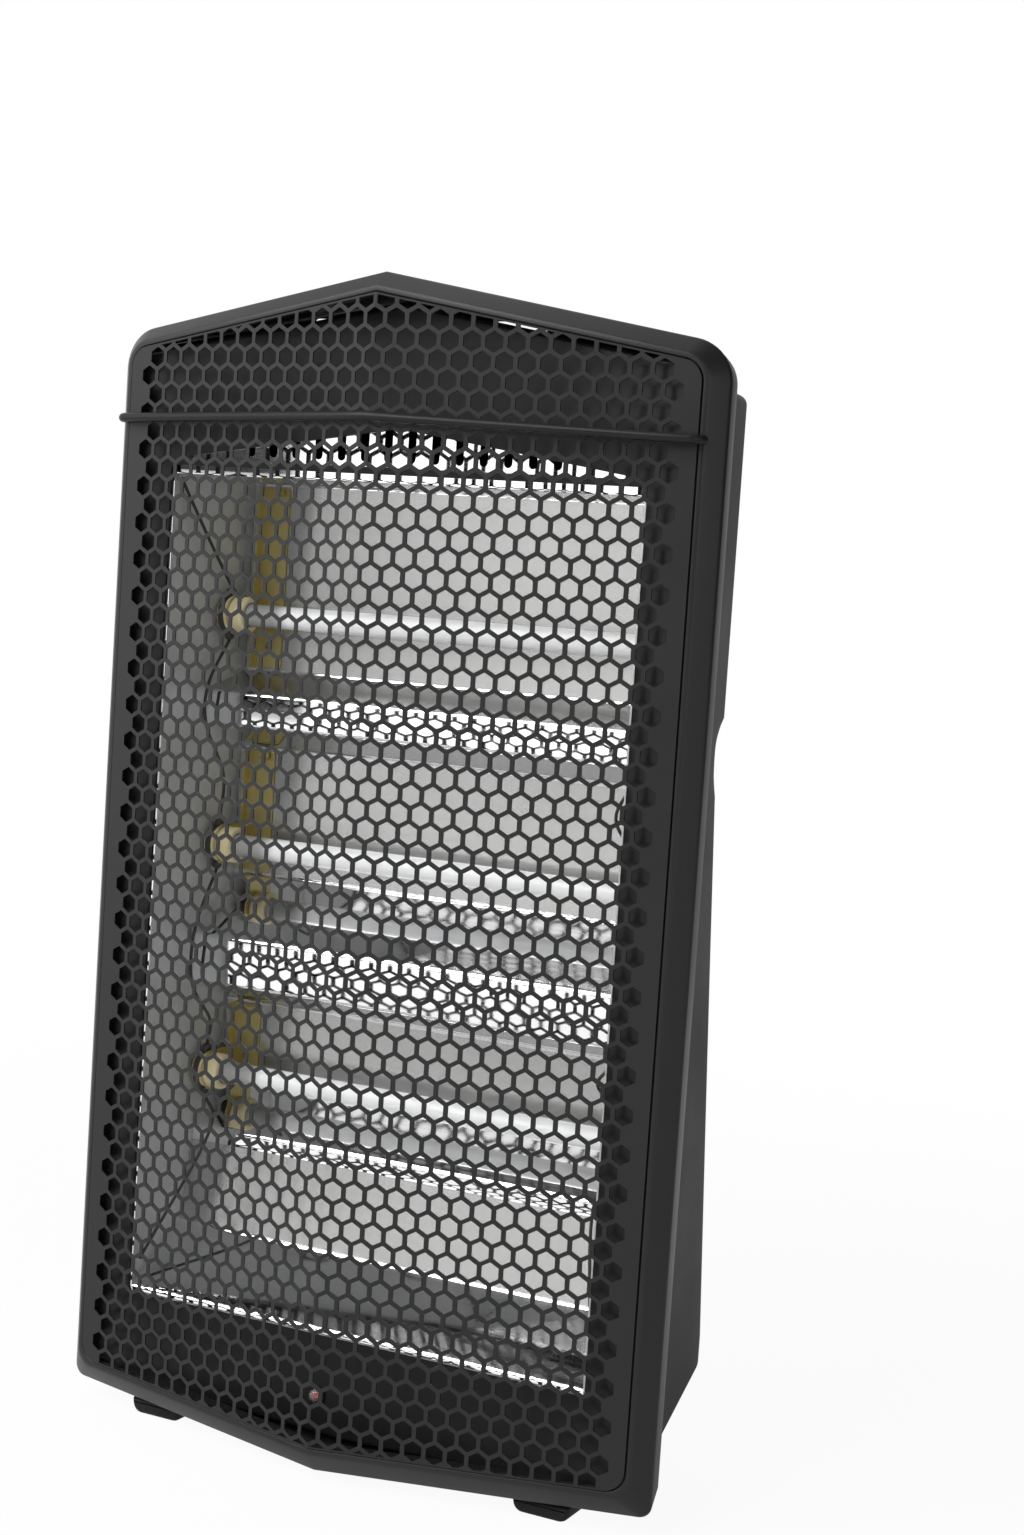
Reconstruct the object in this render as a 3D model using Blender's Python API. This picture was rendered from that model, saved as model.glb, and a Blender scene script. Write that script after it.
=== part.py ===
"""Quartz radiant heater: an upright heater with a folded front, three quartz elements in a polished
reflector, a hexagon guard with a bent guard rod, and a moulded rear housing on two feet.

Metres, +Z up. The front faces -Y and +X is to the right of someone who looks at the front.
Depths below are measured back from the fold of the guard. The frame empty then moves the whole
heater so that the middle of its box is at X = Y = 0, with the floor at Z = 0."""

import math

import bmesh
import bpy
from mathutils import Vector
from mathutils.geometry import delaunay_2d_cdt

MM = 0.001

# Front frame, seen from the front
PEAK_HEIGHT = 594.0 * MM
FRONT_WIDTH = 338.0 * MM
KEEL_HEIGHT = 5.3 * MM
GABLE_ANGLE = math.radians(9.7)
KEEL_ANGLE = math.radians(2.0)
PROW_ANGLE = math.radians(9.9)
TOP_CORNER_RADIUS = 21.0 * MM
BOTTOM_CORNER_RADIUS = 6.0 * MM
BOTTOM_OPENING_RADIUS = 10.5 * MM
SMALLEST_CORNER_RADIUS = 2.5 * MM

# Front frame, in section
BEZEL_BACK = 54.0 * MM
RIM_SETBACK = 8.5 * MM
RIM_EDGE_ROUND = 1.8 * MM
RIM_CREST_INSET = 7.5 * MM
RIM_CREST_SETBACK = 0.6 * MM
RIM_WIDTH = 10.1 * MM
BOTTOM_RIM_EXTRA = 3.2 * MM
LEDGE_WIDTH = 4.0 * MM
LEDGE_THICKNESS = 2.0 * MM
BEZEL_WALL = 3.0 * MM
BEZEL_WALL_SETBACK = 9.5 * MM
BEZEL_DRAFT = 3.5 * MM

# Clearances
SEAT_GAP = 0.3 * MM
GRILLE_EDGE_GAP = 0.5 * MM
FLANGE_EDGE_GAP = 0.4 * MM
RUNNING_GAP = 0.3 * MM
CUT_OVERRUN = 4.0 * MM

# Hexagon guard
GRILLE_THICKNESS = 0.8 * MM
HEX_PITCH = 31.9 * MM
HEX_ROW_SHARE = 0.850
HEX_BAR = 6.0 * MM
HEX_EDGE_MARGIN = 4.0 * MM
HEX_ANCHOR_DROP = 35.5 * MM

# Guard rod
ROD_DIAMETER = 4.6 * MM
ROD_STANDOFF = 3.0 * MM
ROD_CENTRE_DROP = 69.5 * MM
ROD_END_DROP = 3.5 * MM
ROD_END_INSET = 7.6 * MM
ROD_BEND_RADIUS = 5.0 * MM
ROD_FOLD_REACH = 7.0 * MM
ROD_TURN_END_LIFT = 1.25 * MM

# Inner front panel
PANEL_THICKNESS = 1.0 * MM
PANEL_EDGE_INSET = 12.0 * MM
PANEL_BOTTOM_EXTRA = 3.0 * MM
WINDOW_MARGIN = 35.5 * MM
WINDOW_BOTTOM_RISE = 60.2 * MM
WINDOW_TOP_DROP = 95.5 * MM
WINDOW_CORNER = 1.5 * MM
VENT_MARGIN = 11.5 * MM
VENT_BAR = 3.5 * MM
VENT_END_RISE = 1.5 * MM
VENT_PEAK_RISE = 19.0 * MM
PEEP_WIDTH = 15.0 * MM
PEEP_HEIGHT = 5.0 * MM
PEEP_SPREAD_SHARE = 0.1731
PEEP_GABLE_MARGIN = 10.4 * MM

# Reflector
REFLECTOR_THICKNESS = 0.8 * MM
REFLECTOR_SIDE_MARGIN = 0.5 * MM
REFLECTOR_SPLAY = 4.5 * MM
REFLECTOR_FLANGE_RISE = 10.0 * MM
REFLECTOR_TOP_DROP = 4.5 * MM
REFLECTOR_BOTTOM_RISE = 2.5 * MM
REFLECTOR_FLANGE_DROP = 6.5 * MM
TROUGH_DEPTH = 104.0 * MM
RIDGE_DEPTH = 70.0 * MM
UPPER_RIDGE_DROP_SHARE = 0.329
UPPER_RIDGE_HEIGHT_SHARE = 0.146
LOWER_RIDGE_DROP_SHARE = 0.390
LOWER_RIDGE_HEIGHT_SHARE = 0.211
RIDGE_UNDERCUT_SHARE = 0.098
FIRST_TROUGH_FALL_SHARE = 0.081
SECOND_TROUGH_FALL_SHARE = 0.244
SILL_BACK_DROP = 9.0 * MM
SILL_FALL = 22.0 * MM
SILL_FRONT_DEPTH = 80.0 * MM
SILL_LIP = 6.0 * MM
FLOOR_BEND_RISE = 30.0 * MM
FLOOR_BEND_DEPTH = 68.0 * MM
VENT_SLOT_WIDTH = 4.5 * MM
VENT_SLOT_PITCH = 13.3 * MM
VENT_SLOT_RISE = 5.0 * MM
VENT_SLOT_LENGTH = 20.0 * MM
VENT_SLOT_COUNT = 14
END_WALL_THICKNESS = 0.8 * MM
END_WALL_TOP_MARGIN = 1.0 * MM

# Quartz elements
ELEMENT_TOP_DROP = 71.0 * MM
ELEMENT_LOW_RISE = 111.5 * MM
ELEMENT_COUNT = 3
ELEMENT_DEPTH = 83.0 * MM
TUBE_DIAMETER = 12.0 * MM
TUBE_WALL = 1.3 * MM
CAP_DIAMETER = 19.0 * MM
CAP_LENGTH = 16.0 * MM
CAP_GROOVE_DIAMETER = 14.0 * MM
CAP_GROOVE_WIDTH = 1.7 * MM
CAP_GROOVE_FROM_OUTER = 6.0 * MM
CAP_BORE_DEPTH = 6.0 * MM
CAP_EDGE = 1.2 * MM
COIL_DIAMETER = 6.0 * MM
COIL_END_MARGIN = 2.0 * MM
COIL_HEAD_DIAMETER = 9.0 * MM
COIL_HEAD_LENGTH = 5.0 * MM

# Element brackets
BRACKET_THICKNESS = 1.0 * MM
BRACKET_WIDTH = 17.0 * MM
BRACKET_LEG = 5.0 * MM
BRACKET_END_MARGIN = 2.5 * MM
FORK_HALF_HEIGHT = 10.5 * MM
FORK_REACH = 4.0 * MM

# Element wires
WIRE_DIAMETER = 1.6 * MM
WIRE_TERMINAL_INSET = 3.5 * MM
WIRE_WALL_GAP = 1.6 * MM
WIRE_FRONT_REACH = 6.4 * MM
WIRE_RIDGE_REACH = 4.8 * MM
WIRE_RIDGE_LIFT = 3.2 * MM
WIRE_KNEE_REACH = 9.6 * MM
WIRE_END_RISE = 12.8 * MM

# Rear housing
HOUSING_WALL = 2.2 * MM
HOUSING_MARGIN = 8.0 * MM
HOUSING_TAPER = 12.7 * MM
HOUSING_CORNER_RADIUS = 25.0 * MM
HOUSING_TOP_DROP = 46.0 * MM
HOUSING_TOP_ROUND = 5.0 * MM
UPPER_DEPTH = 119.5 * MM
WAIST_DROP = 159.0 * MM
WAIST_HEIGHT = 36.0 * MM
WAIST_SLOPE_HEIGHT = 5.0 * MM
WAIST_SINK = 4.5 * MM
LOWER_TOP_DEPTH = 114.0 * MM
LOWER_BOTTOM_DEPTH = 151.0 * MM
LOWER_BOTTOM_HEIGHT = 72.0 * MM
UNDERSIDE_FRONT_HEIGHT = 36.5 * MM
UNDERSIDE_SLOPE_SHARE = 0.27
FLANGE_THICKNESS = 2.2 * MM
EXHAUST_GABLE_MARGIN = 13.7 * MM
EXHAUST_HEIGHT = 14.0 * MM

# Rear air slots
SLOT_LENGTH = 62.0 * MM
SLOT_HEIGHT = 5.0 * MM
SLOT_PITCH = 12.0 * MM
SLOT_CORNER = 2.0 * MM
SLOT_COLUMN_X = 48.0 * MM
UPPER_SLOT_RISE = 23.0 * MM
UPPER_SLOT_ROWS = 6
LOWER_SLOT_LOW = 112.0 * MM
LOWER_SLOT_ROWS = 4

# Feet
FOOT_FRONT = 33.0 * MM
FOOT_BACK = 146.0 * MM
FOOT_MARGIN = 35.3 * MM
FOOT_TAB_TOP_WIDTH = 31.0 * MM
FOOT_WIDTH = 29.0 * MM
FOOT_CORNER = 5.0 * MM
FOOT_TAB_HEIGHT = 8.2 * MM
FOOT_END_SLOPE = 2.0 * MM
FOOT_STEP_GAP = 1.0 * MM

# Screws
SCREW_HEAD_DIAMETER = 6.0 * MM
SCREW_HEAD_HEIGHT = 2.4 * MM
SCREW_SHANK_DIAMETER = 3.0 * MM
SCREW_SHANK_LENGTH = 7.0 * MM
SCREW_SHANK_GAP = 0.3 * MM
FOOT_SCREW_DEPTHS = (72.0 * MM, 104.0 * MM)
FOOT_SCREW_SKIN = 6.0 * MM
FLANGE_SCREW_MARGIN = 65.0 * MM
FLANGE_SCREW_GABLE_MARGIN = 18.2 * MM

# Carry handle on the roof
HANDLE_SPAN = 104.0 * MM
HANDLE_RISE = 30.5 * MM
HANDLE_DEPTH_WIDTH = 20.0 * MM
HANDLE_THICKNESS = 8.0 * MM
HANDLE_FOOT_LENGTH = 17.0 * MM
HANDLE_DEPTH = 86.0 * MM
HANDLE_SQUARE_SHARE = 0.55
HANDLE_EDGE = 1.5 * MM

# Rotary switch and knob
KNOB_MARGIN = 42.3 * MM
KNOB_DEPTH = 86.0 * MM
KNOB_DIAMETER = 36.0 * MM
KNOB_SKIRT_DIAMETER = 40.0 * MM
KNOB_HEIGHT = 15.0 * MM
KNOB_SKIRT_HEIGHT = 3.0 * MM
KNOB_LIFT = 1.0 * MM
KNOB_EDGE = 1.6 * MM
KNOB_FLUTE_DEPTH = 0.9 * MM
KNOB_FLUTES = 12
KNOB_BAR_WIDTH = 7.0 * MM
KNOB_BAR_HEIGHT = 4.0 * MM
KNOB_BAR_MARGIN = 1.5 * MM
KNOB_BAR_EDGE = 1.75 * MM
KNOB_BORE_TOP = 3.0 * MM
SHAFT_DIAMETER = 6.0 * MM
SWITCH_SIZE = 30.0 * MM
SWITCH_HEIGHT = 19.0 * MM
SWITCH_BUSH_DIAMETER = 10.0 * MM
SWITCH_BUSH_PROUD = 0.6 * MM
SWITCH_BORE_DEPTH = 16.0 * MM
SHAFT_END_GAP = 0.5 * MM

# Tip-over switch
TIP_DEPTH = 124.0 * MM
PLUNGER_DIAMETER = 6.0 * MM
PLUNGER_TIP_DIAMETER = 8.0 * MM
PLUNGER_TIP_LENGTH = 8.0 * MM
PLUNGER_TIP_EDGE = 1.0 * MM
PLUNGER_NECK_SLOPE = 2.0 * MM
PLUNGER_FLOOR_GAP = 0.3 * MM
PLUNGER_BORE_DIAMETER = 8.6 * MM
TIP_BODY_WIDTH = 18.0 * MM
TIP_BODY_HEIGHT = 26.0 * MM
TIP_BODY_EDGE = 1.0 * MM
TIP_CHAMBER_DIAMETER = 11.0 * MM
TIP_CHAMBER_DEPTH = 23.0 * MM
TIP_ENTRY = 7.0 * MM
SPRING_COIL_DIAMETER = 8.2 * MM
SPRING_WIRE = 0.8 * MM
SPRING_TURNS = 5
SPRING_POINTS_PER_TURN = 8
SPRING_HEIGHT = 12.0 * MM
COLLAR_THICKNESS = 2.0 * MM
PLUNGER_GUIDE_LENGTH = 3.0 * MM

# Small electrical pieces
LAMP_X = -14.0 * MM
LAMP_DROP = 31.0 * MM
LAMP_DIAMETER = 7.0 * MM
LAMP_FLANGE_DIAMETER = 9.5 * MM
LAMP_FLANGE = 1.2 * MM
LAMP_DOME = 3.0 * MM
LAMP_BODY_LENGTH = 12.0 * MM
CUTOUT_DIAMETER = 14.0 * MM
CUTOUT_HEIGHT = 7.0 * MM
CUTOUT_LUG = 5.0 * MM
CUTOUT_X = 30.0 * MM
CUTOUT_RISE = 29.0 * MM
GLAND_X = -62.0 * MM
GLAND_HEIGHT = 90.0 * MM
GLAND_DIAMETER = 14.0 * MM
GLAND_FLANGE_DIAMETER = 19.0 * MM
GLAND_FLANGE = 2.2 * MM
GLAND_BORE = 8.0 * MM
GLAND_INNER = 5.0 * MM
BLOCK_X = -20.0 * MM
BLOCK_WIDTH = 34.0 * MM
BLOCK_HEIGHT = 16.0 * MM
BLOCK_THICKNESS = 11.0 * MM
BLOCK_STEP = 4.0 * MM
BLOCK_PLACE_HEIGHT = 96.0 * MM

# Facets
ARC_STEPS = 4
ROUND_SIDES = 16
SMALL_SIDES = 10
ELEMENT_SIDES = 12
KNOB_SIDES = 36
WIRE_PIECES = 3
BENT_WIRE_PIECES = 2
ROUND_LIMIT_DEGREES = 30
SOFT_LIMIT_DEGREES = 40
MERGE_DISTANCE = 0.00001

# Derived sizes
HALF_WIDTH = FRONT_WIDTH / 2
PROW_SLOPE = math.tan(PROW_ANGLE)
GABLE_SLOPE = math.tan(GABLE_ANGLE)
GRILLE_INSET = RIM_WIDTH + GRILLE_EDGE_GAP
LEDGE_SETBACK = GRILLE_THICKNESS / math.cos(PROW_ANGLE) + SEAT_GAP
LEDGE_INSET = RIM_WIDTH + LEDGE_WIDTH
ROD_CENTRE_SETBACK = -(ROD_STANDOFF + ROD_DIAMETER / 2)
REAR_MOST = LOWER_BOTTOM_DEPTH


def prow(x):
    """Depth of the guard's front face at a distance x from the fold."""
    return abs(x) * PROW_SLOPE


ROD_FOLD_SETBACK = ROD_CENTRE_SETBACK + prow(ROD_FOLD_REACH) / 2
FRONT_MOST = ROD_FOLD_SETBACK - ROD_DIAMETER / 2
MID_DEPTH = (FRONT_MOST + REAR_MOST) / 2
PANEL_DEPTH = prow(HALF_WIDTH - RIM_WIDTH) + LEDGE_SETBACK + LEDGE_THICKNESS + SEAT_GAP
FLANGE_FRONT = BEZEL_BACK - FLANGE_THICKNESS
FLANGE_INSET = BEZEL_WALL + BEZEL_DRAFT + FLANGE_EDGE_GAP

# Derived widths
WINDOW_WIDTH = FRONT_WIDTH - 2 * WINDOW_MARGIN
VENT_WIDTH = WINDOW_WIDTH - 2 * VENT_MARGIN
PEEP_CENTRE_X = FRONT_WIDTH * PEEP_SPREAD_SHARE
REFLECTOR_FRONT_WIDTH = WINDOW_WIDTH + 2 * REFLECTOR_SIDE_MARGIN
REFLECTOR_BACK_WIDTH = REFLECTOR_FRONT_WIDTH - 2 * REFLECTOR_SPLAY
HOUSING_FRONT_WIDTH = FRONT_WIDTH - 2 * HOUSING_MARGIN
HOUSING_BACK_WIDTH = HOUSING_FRONT_WIDTH - 2 * HOUSING_TAPER

# Derived heights and places
HEX_ANCHOR_HEIGHT = PEAK_HEIGHT - HEX_ANCHOR_DROP
ROD_CENTRE_HEIGHT = PEAK_HEIGHT - ROD_CENTRE_DROP
WINDOW_TOP = PEAK_HEIGHT - WINDOW_TOP_DROP
WINDOW_BOTTOM = KEEL_HEIGHT + WINDOW_BOTTOM_RISE
VENT_BOTTOM = WINDOW_TOP + VENT_BAR
PEEP_CENTRE_HEIGHT = PEAK_HEIGHT - PEEP_CENTRE_X * GABLE_SLOPE - PEEP_GABLE_MARGIN
LAMP_HEIGHT = WINDOW_BOTTOM - LAMP_DROP
REFLECTOR_TOP = WINDOW_TOP - REFLECTOR_TOP_DROP
REFLECTOR_FLANGE_TOP = VENT_BOTTOM + VENT_PEAK_RISE + REFLECTOR_FLANGE_RISE
REFLECTOR_BOTTOM = WINDOW_BOTTOM + REFLECTOR_BOTTOM_RISE
REFLECTOR_LOWEST = WINDOW_BOTTOM - REFLECTOR_FLANGE_DROP
VENT_SLOT_BOTTOM = VENT_BOTTOM + VENT_SLOT_RISE
VENT_SLOT_TOP = VENT_SLOT_BOTTOM + VENT_SLOT_LENGTH
ELEMENT_TOP_HEIGHT = REFLECTOR_TOP - ELEMENT_TOP_DROP
ELEMENT_LOW_HEIGHT = WINDOW_BOTTOM + ELEMENT_LOW_RISE
ELEMENT_PITCH = (ELEMENT_TOP_HEIGHT - ELEMENT_LOW_HEIGHT) / (ELEMENT_COUNT - 1)
UPPER_RIDGE_TOP = ELEMENT_TOP_HEIGHT - ELEMENT_PITCH * UPPER_RIDGE_DROP_SHARE
UPPER_RIDGE_HEIGHT = ELEMENT_PITCH * UPPER_RIDGE_HEIGHT_SHARE
LOWER_RIDGE_TOP = ELEMENT_TOP_HEIGHT - ELEMENT_PITCH - ELEMENT_PITCH * LOWER_RIDGE_DROP_SHARE
LOWER_RIDGE_HEIGHT = ELEMENT_PITCH * LOWER_RIDGE_HEIGHT_SHARE
RIDGE_UNDERCUT_RISE = ELEMENT_PITCH * RIDGE_UNDERCUT_SHARE
FIRST_TROUGH_FALL = ELEMENT_PITCH * FIRST_TROUGH_FALL_SHARE
SECOND_TROUGH_FALL = ELEMENT_PITCH * SECOND_TROUGH_FALL_SHARE
SILL_BACK_HEIGHT = ELEMENT_LOW_HEIGHT - SILL_BACK_DROP
SILL_FRONT_HEIGHT = SILL_BACK_HEIGHT - SILL_FALL
FLOOR_BEND_HEIGHT = REFLECTOR_BOTTOM + FLOOR_BEND_RISE
CUTOUT_PLACE_HEIGHT = ELEMENT_TOP_HEIGHT + CUTOUT_RISE
HOUSING_TOP = PEAK_HEIGHT - HOUSING_TOP_DROP
WAIST_TOP = HOUSING_TOP - WAIST_DROP
WAIST_BOTTOM = WAIST_TOP - WAIST_HEIGHT
UPPER_SLOT_LOW = WAIST_TOP + UPPER_SLOT_RISE
EXHAUST_HALF_WIDTH = PEEP_CENTRE_X + PEEP_WIDTH / 2
EXHAUST_CENTRE_HEIGHT = PEAK_HEIGHT - EXHAUST_HALF_WIDTH * GABLE_SLOPE - EXHAUST_GABLE_MARGIN
FLANGE_SCREW_X = HALF_WIDTH - FLANGE_SCREW_MARGIN
FLANGE_SCREW_HEIGHT = PEAK_HEIGHT - FLANGE_SCREW_X * GABLE_SLOPE - FLANGE_SCREW_GABLE_MARGIN
FOOT_CENTRE_X = HOUSING_BACK_WIDTH / 2 - FOOT_MARGIN
KNOB_X = HOUSING_BACK_WIDTH / 2 - KNOB_MARGIN


def underside(depth):
    """Height of the housing's sloped underside at a depth."""
    return UNDERSIDE_FRONT_HEIGHT + UNDERSIDE_SLOPE_SHARE * (depth - BEZEL_BACK)


def housing_depth(height):
    """Depth of the housing's lower back wall, which leans out towards its bottom."""
    share = (WAIST_BOTTOM - height) / (WAIST_BOTTOM - LOWER_BOTTOM_HEIGHT)
    return LOWER_TOP_DEPTH + share * (LOWER_BOTTOM_DEPTH - LOWER_TOP_DEPTH)


def end_wall_x(depth):
    """Half width of the reflector's splayed inside at a depth."""
    share = (depth - PANEL_DEPTH) / (TROUGH_DEPTH - PANEL_DEPTH)
    return (REFLECTOR_FRONT_WIDTH + share * (REFLECTOR_BACK_WIDTH - REFLECTOR_FRONT_WIDTH)) / 2


# Scene
def clear_scene():
    for old in list(bpy.data.objects):
        bpy.data.objects.remove(old, do_unlink=True)


def material(name, colour, roughness, metallic=0.0):
    made = bpy.data.materials.new(name)
    made.use_nodes = True
    shader = made.node_tree.nodes["Principled BSDF"]
    shader.inputs["Base Color"].default_value = (*colour, 1.0)
    shader.inputs["Roughness"].default_value = roughness
    shader.inputs["Metallic"].default_value = metallic
    return made


def place(name, mesh, finish, parent, origin=(0, 0, 0)):
    made = bpy.data.objects.new(name, mesh)
    bpy.context.scene.collection.objects.link(made)
    made.data.materials.append(finish)
    made.parent = parent
    made.location = origin
    return made


def close_mesh(name, shape, sharp_degrees=None):
    """Turn a bmesh into a mesh with outward faces, smooth where the angle is under the limit."""
    bmesh.ops.recalc_face_normals(shape, faces=shape.faces)
    mesh = bpy.data.meshes.new(name)
    shape.to_mesh(mesh)
    shape.free()
    if sharp_degrees is not None:
        mesh.shade_smooth()
        mesh.set_sharp_from_angle(angle=math.radians(sharp_degrees))
    return mesh


def cut(target, cutter, operation="DIFFERENCE"):
    """Add an exact Boolean and hide the shape that it uses."""
    step = target.modifiers.new(cutter.name, "BOOLEAN")
    step.operation = operation
    step.solver = "EXACT"
    step.object = cutter
    cutter.hide_render = True
    cutter.display_type = "WIRE"


# Outlines
def rounded_loop(corners, steps=ARC_STEPS):
    """Round each (u, v, radius) corner of a closed outline with an arc of equal steps."""
    points = []
    count = len(corners)
    for index, (u, v, radius) in enumerate(corners):
        here = Vector((u, v))
        if radius == 0:
            points.append(here)
            continue
        before = (Vector(corners[index - 1][:2]) - here).normalized()
        after = (Vector(corners[(index + 1) % count][:2]) - here).normalized()
        half_angle = before.angle(after) / 2
        centre = here + (before + after).normalized() * radius / math.sin(half_angle)
        start = here + before * radius / math.tan(half_angle) - centre
        end = here + after * radius / math.tan(half_angle) - centre
        sweep = start.angle_signed(end)
        for step in range(steps + 1):
            turn = -sweep * step / steps
            turned = Vector((start.x * math.cos(turn) - start.y * math.sin(turn),
                             start.x * math.sin(turn) + start.y * math.cos(turn)))
            points.append(centre + turned)
    return points


def front_outline(side_inset, bottom_inset):
    """The gabled front outline, drawn in by an inset, from the keel's middle round to the left.

    Its top corners get tighter with the inset and its bottom corners get rounder."""
    half = HALF_WIDTH - side_inset
    peak = PEAK_HEIGHT - side_inset / math.cos(GABLE_ANGLE)
    keel = KEEL_HEIGHT + bottom_inset
    shoulder = peak - half * math.tan(GABLE_ANGLE)
    heel = keel + half * math.tan(KEEL_ANGLE)
    top_radius = max(TOP_CORNER_RADIUS - side_inset, SMALLEST_CORNER_RADIUS)
    low_spread = BOTTOM_OPENING_RADIUS - BOTTOM_CORNER_RADIUS
    low_radius = BOTTOM_CORNER_RADIUS + low_spread * side_inset / RIM_WIDTH
    return rounded_loop([(0, keel, 0), (half, heel, low_radius), (half, shoulder, top_radius),
                         (0, peak, 0), (-half, shoulder, top_radius), (-half, heel, low_radius)])


def rectangle(centre_u, centre_v, width, height, corner=0):
    half_u, half_v = width / 2, height / 2
    return rounded_loop([(centre_u - half_u, centre_v - half_v, corner),
                         (centre_u + half_u, centre_v - half_v, corner),
                         (centre_u + half_u, centre_v + half_v, corner),
                         (centre_u - half_u, centre_v + half_v, corner)], steps=1)


def circle(centre_u, centre_v, diameter, sides=SMALL_SIDES):
    return [Vector((centre_u + diameter / 2 * math.cos(2 * math.pi * step / sides),
                    centre_v + diameter / 2 * math.sin(2 * math.pi * step / sides)))
            for step in range(sides)]


def inside(point, loop):
    """True where a point lies inside a closed outline."""
    hit = False
    for index, there in enumerate(loop):
        here = loop[index - 1]
        if (here.y > point.y) != (there.y > point.y):
            crossing = (there.x - here.x) * (point.y - here.y) / (there.y - here.y) + here.x
            hit = hit != (point.x < crossing)
    return hit


# Solids
def flat_faces(loops, holes, lift, lines=()):
    """Fill the outline loops except the holes with triangles, and lift each (u, v) into space."""
    points, edges = [], []
    for loop in [*loops, *holes]:
        start = len(points)
        points += loop
        edges += [(start + step, start + (step + 1) % len(loop)) for step in range(len(loop))]
    for line in lines:
        start = len(points)
        points += line
        edges.append((start, start + 1))
    found = delaunay_2d_cdt(points, edges, [], 1, MERGE_DISTANCE)
    shape = bmesh.new()
    corners = [shape.verts.new(lift(point.x, point.y)) for point in found[0]]
    for face in found[2]:
        middle = sum((found[0][index] for index in face), Vector((0, 0))) / len(face)
        if not any(inside(middle, hole) for hole in holes):
            shape.faces.new([corners[index] for index in face])
    loose = [corner for corner in shape.verts if not corner.link_faces]
    bmesh.ops.delete(shape, geom=loose, context="VERTS")
    return shape


def extrude(shape, faces, push, keep=True):
    """Extrude faces by a vector and return the faces that moved. keep=True leaves a face behind."""
    made = bmesh.ops.extrude_face_region(shape, geom=faces)["geom"]
    moved = [item for item in made if isinstance(item, bmesh.types.BMVert)]
    bmesh.ops.translate(shape, verts=moved, vec=push)
    if not keep:
        bmesh.ops.delete(shape, geom=faces, context="FACES")
    return [item for item in made if isinstance(item, bmesh.types.BMFace)]


def loft(rings, closed=False):
    """Join rings of points one after the other, with flat ends or back to the first ring."""
    shape = bmesh.new()
    made = [[shape.verts.new(point) for point in ring] for ring in rings]
    pairs = list(zip(made, made[1:]))
    if closed:
        pairs.append((made[-1], made[0]))
    else:
        shape.faces.new(made[0])
        shape.faces.new(made[-1])
    for lower, upper in pairs:
        for step in range(len(lower)):
            following = (step + 1) % len(lower)
            shape.faces.new((lower[step], lower[following], upper[following], upper[step]))
    return shape


def turned(profile, sides, point, closed=False):
    """Turn (radius, along) points about an axis; point() maps (u, v, along) into space."""
    rings = []
    for radius, along in profile:
        ring = []
        for step in range(sides):
            angle = 2 * math.pi * step / sides
            ring.append(point(radius * math.cos(angle), radius * math.sin(angle), along))
        rings.append(ring)
    return loft(rings, closed)


def upright(u, v, along):
    return Vector((u, v, along))


def rearward(u, v, along):
    return Vector((u, along, v))


def sideways(u, v, along):
    return Vector((along, u, v))


def box(low, high, edge=0.0):
    """A block between two corners, with its upright edges cut at 45 degrees."""
    middle = ((low[0] + high[0]) / 2, (low[1] + high[1]) / 2)
    plan = rectangle(*middle, high[0] - low[0], high[1] - low[1], edge)
    return loft([[Vector((u, v, level)) for u, v in plan] for level in (low[2], high[2])])


def tube_curve(name, routes, diameter, finish, parent, origin=(0, 0, 0)):
    """Round wires along lists of points, as one curve object with filled ends."""
    curve = bpy.data.curves.new(name, "CURVE")
    curve.dimensions = "3D"
    curve.bevel_depth = diameter / 2
    curve.bevel_resolution = 1
    curve.use_fill_caps = True
    for route in routes:
        run = curve.splines.new("POLY")
        run.points.add(len(route) - 1)
        for knot, point in zip(run.points, route):
            knot.co = (*point, 1.0)
    return place(name, curve, finish, parent, origin)


def smooth_route(points, pieces):
    """A smooth line through the given points, with equal pieces between each two."""
    ends = [points[0] * 2 - points[1], *points, points[-1] * 2 - points[-2]]
    line = []
    for index in range(1, len(ends) - 2):
        first, second, third, fourth = ends[index - 1:index + 3]
        for step in range(pieces):
            t = step / pieces
            line.append((second * 2 + (third - first) * t
                         + (first * 2 - second * 5 + third * 4 - fourth) * t * t
                         + (second * 3 - first - third * 3 + fourth) * t * t * t) / 2)
    line.append(points[-1])
    return line


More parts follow.
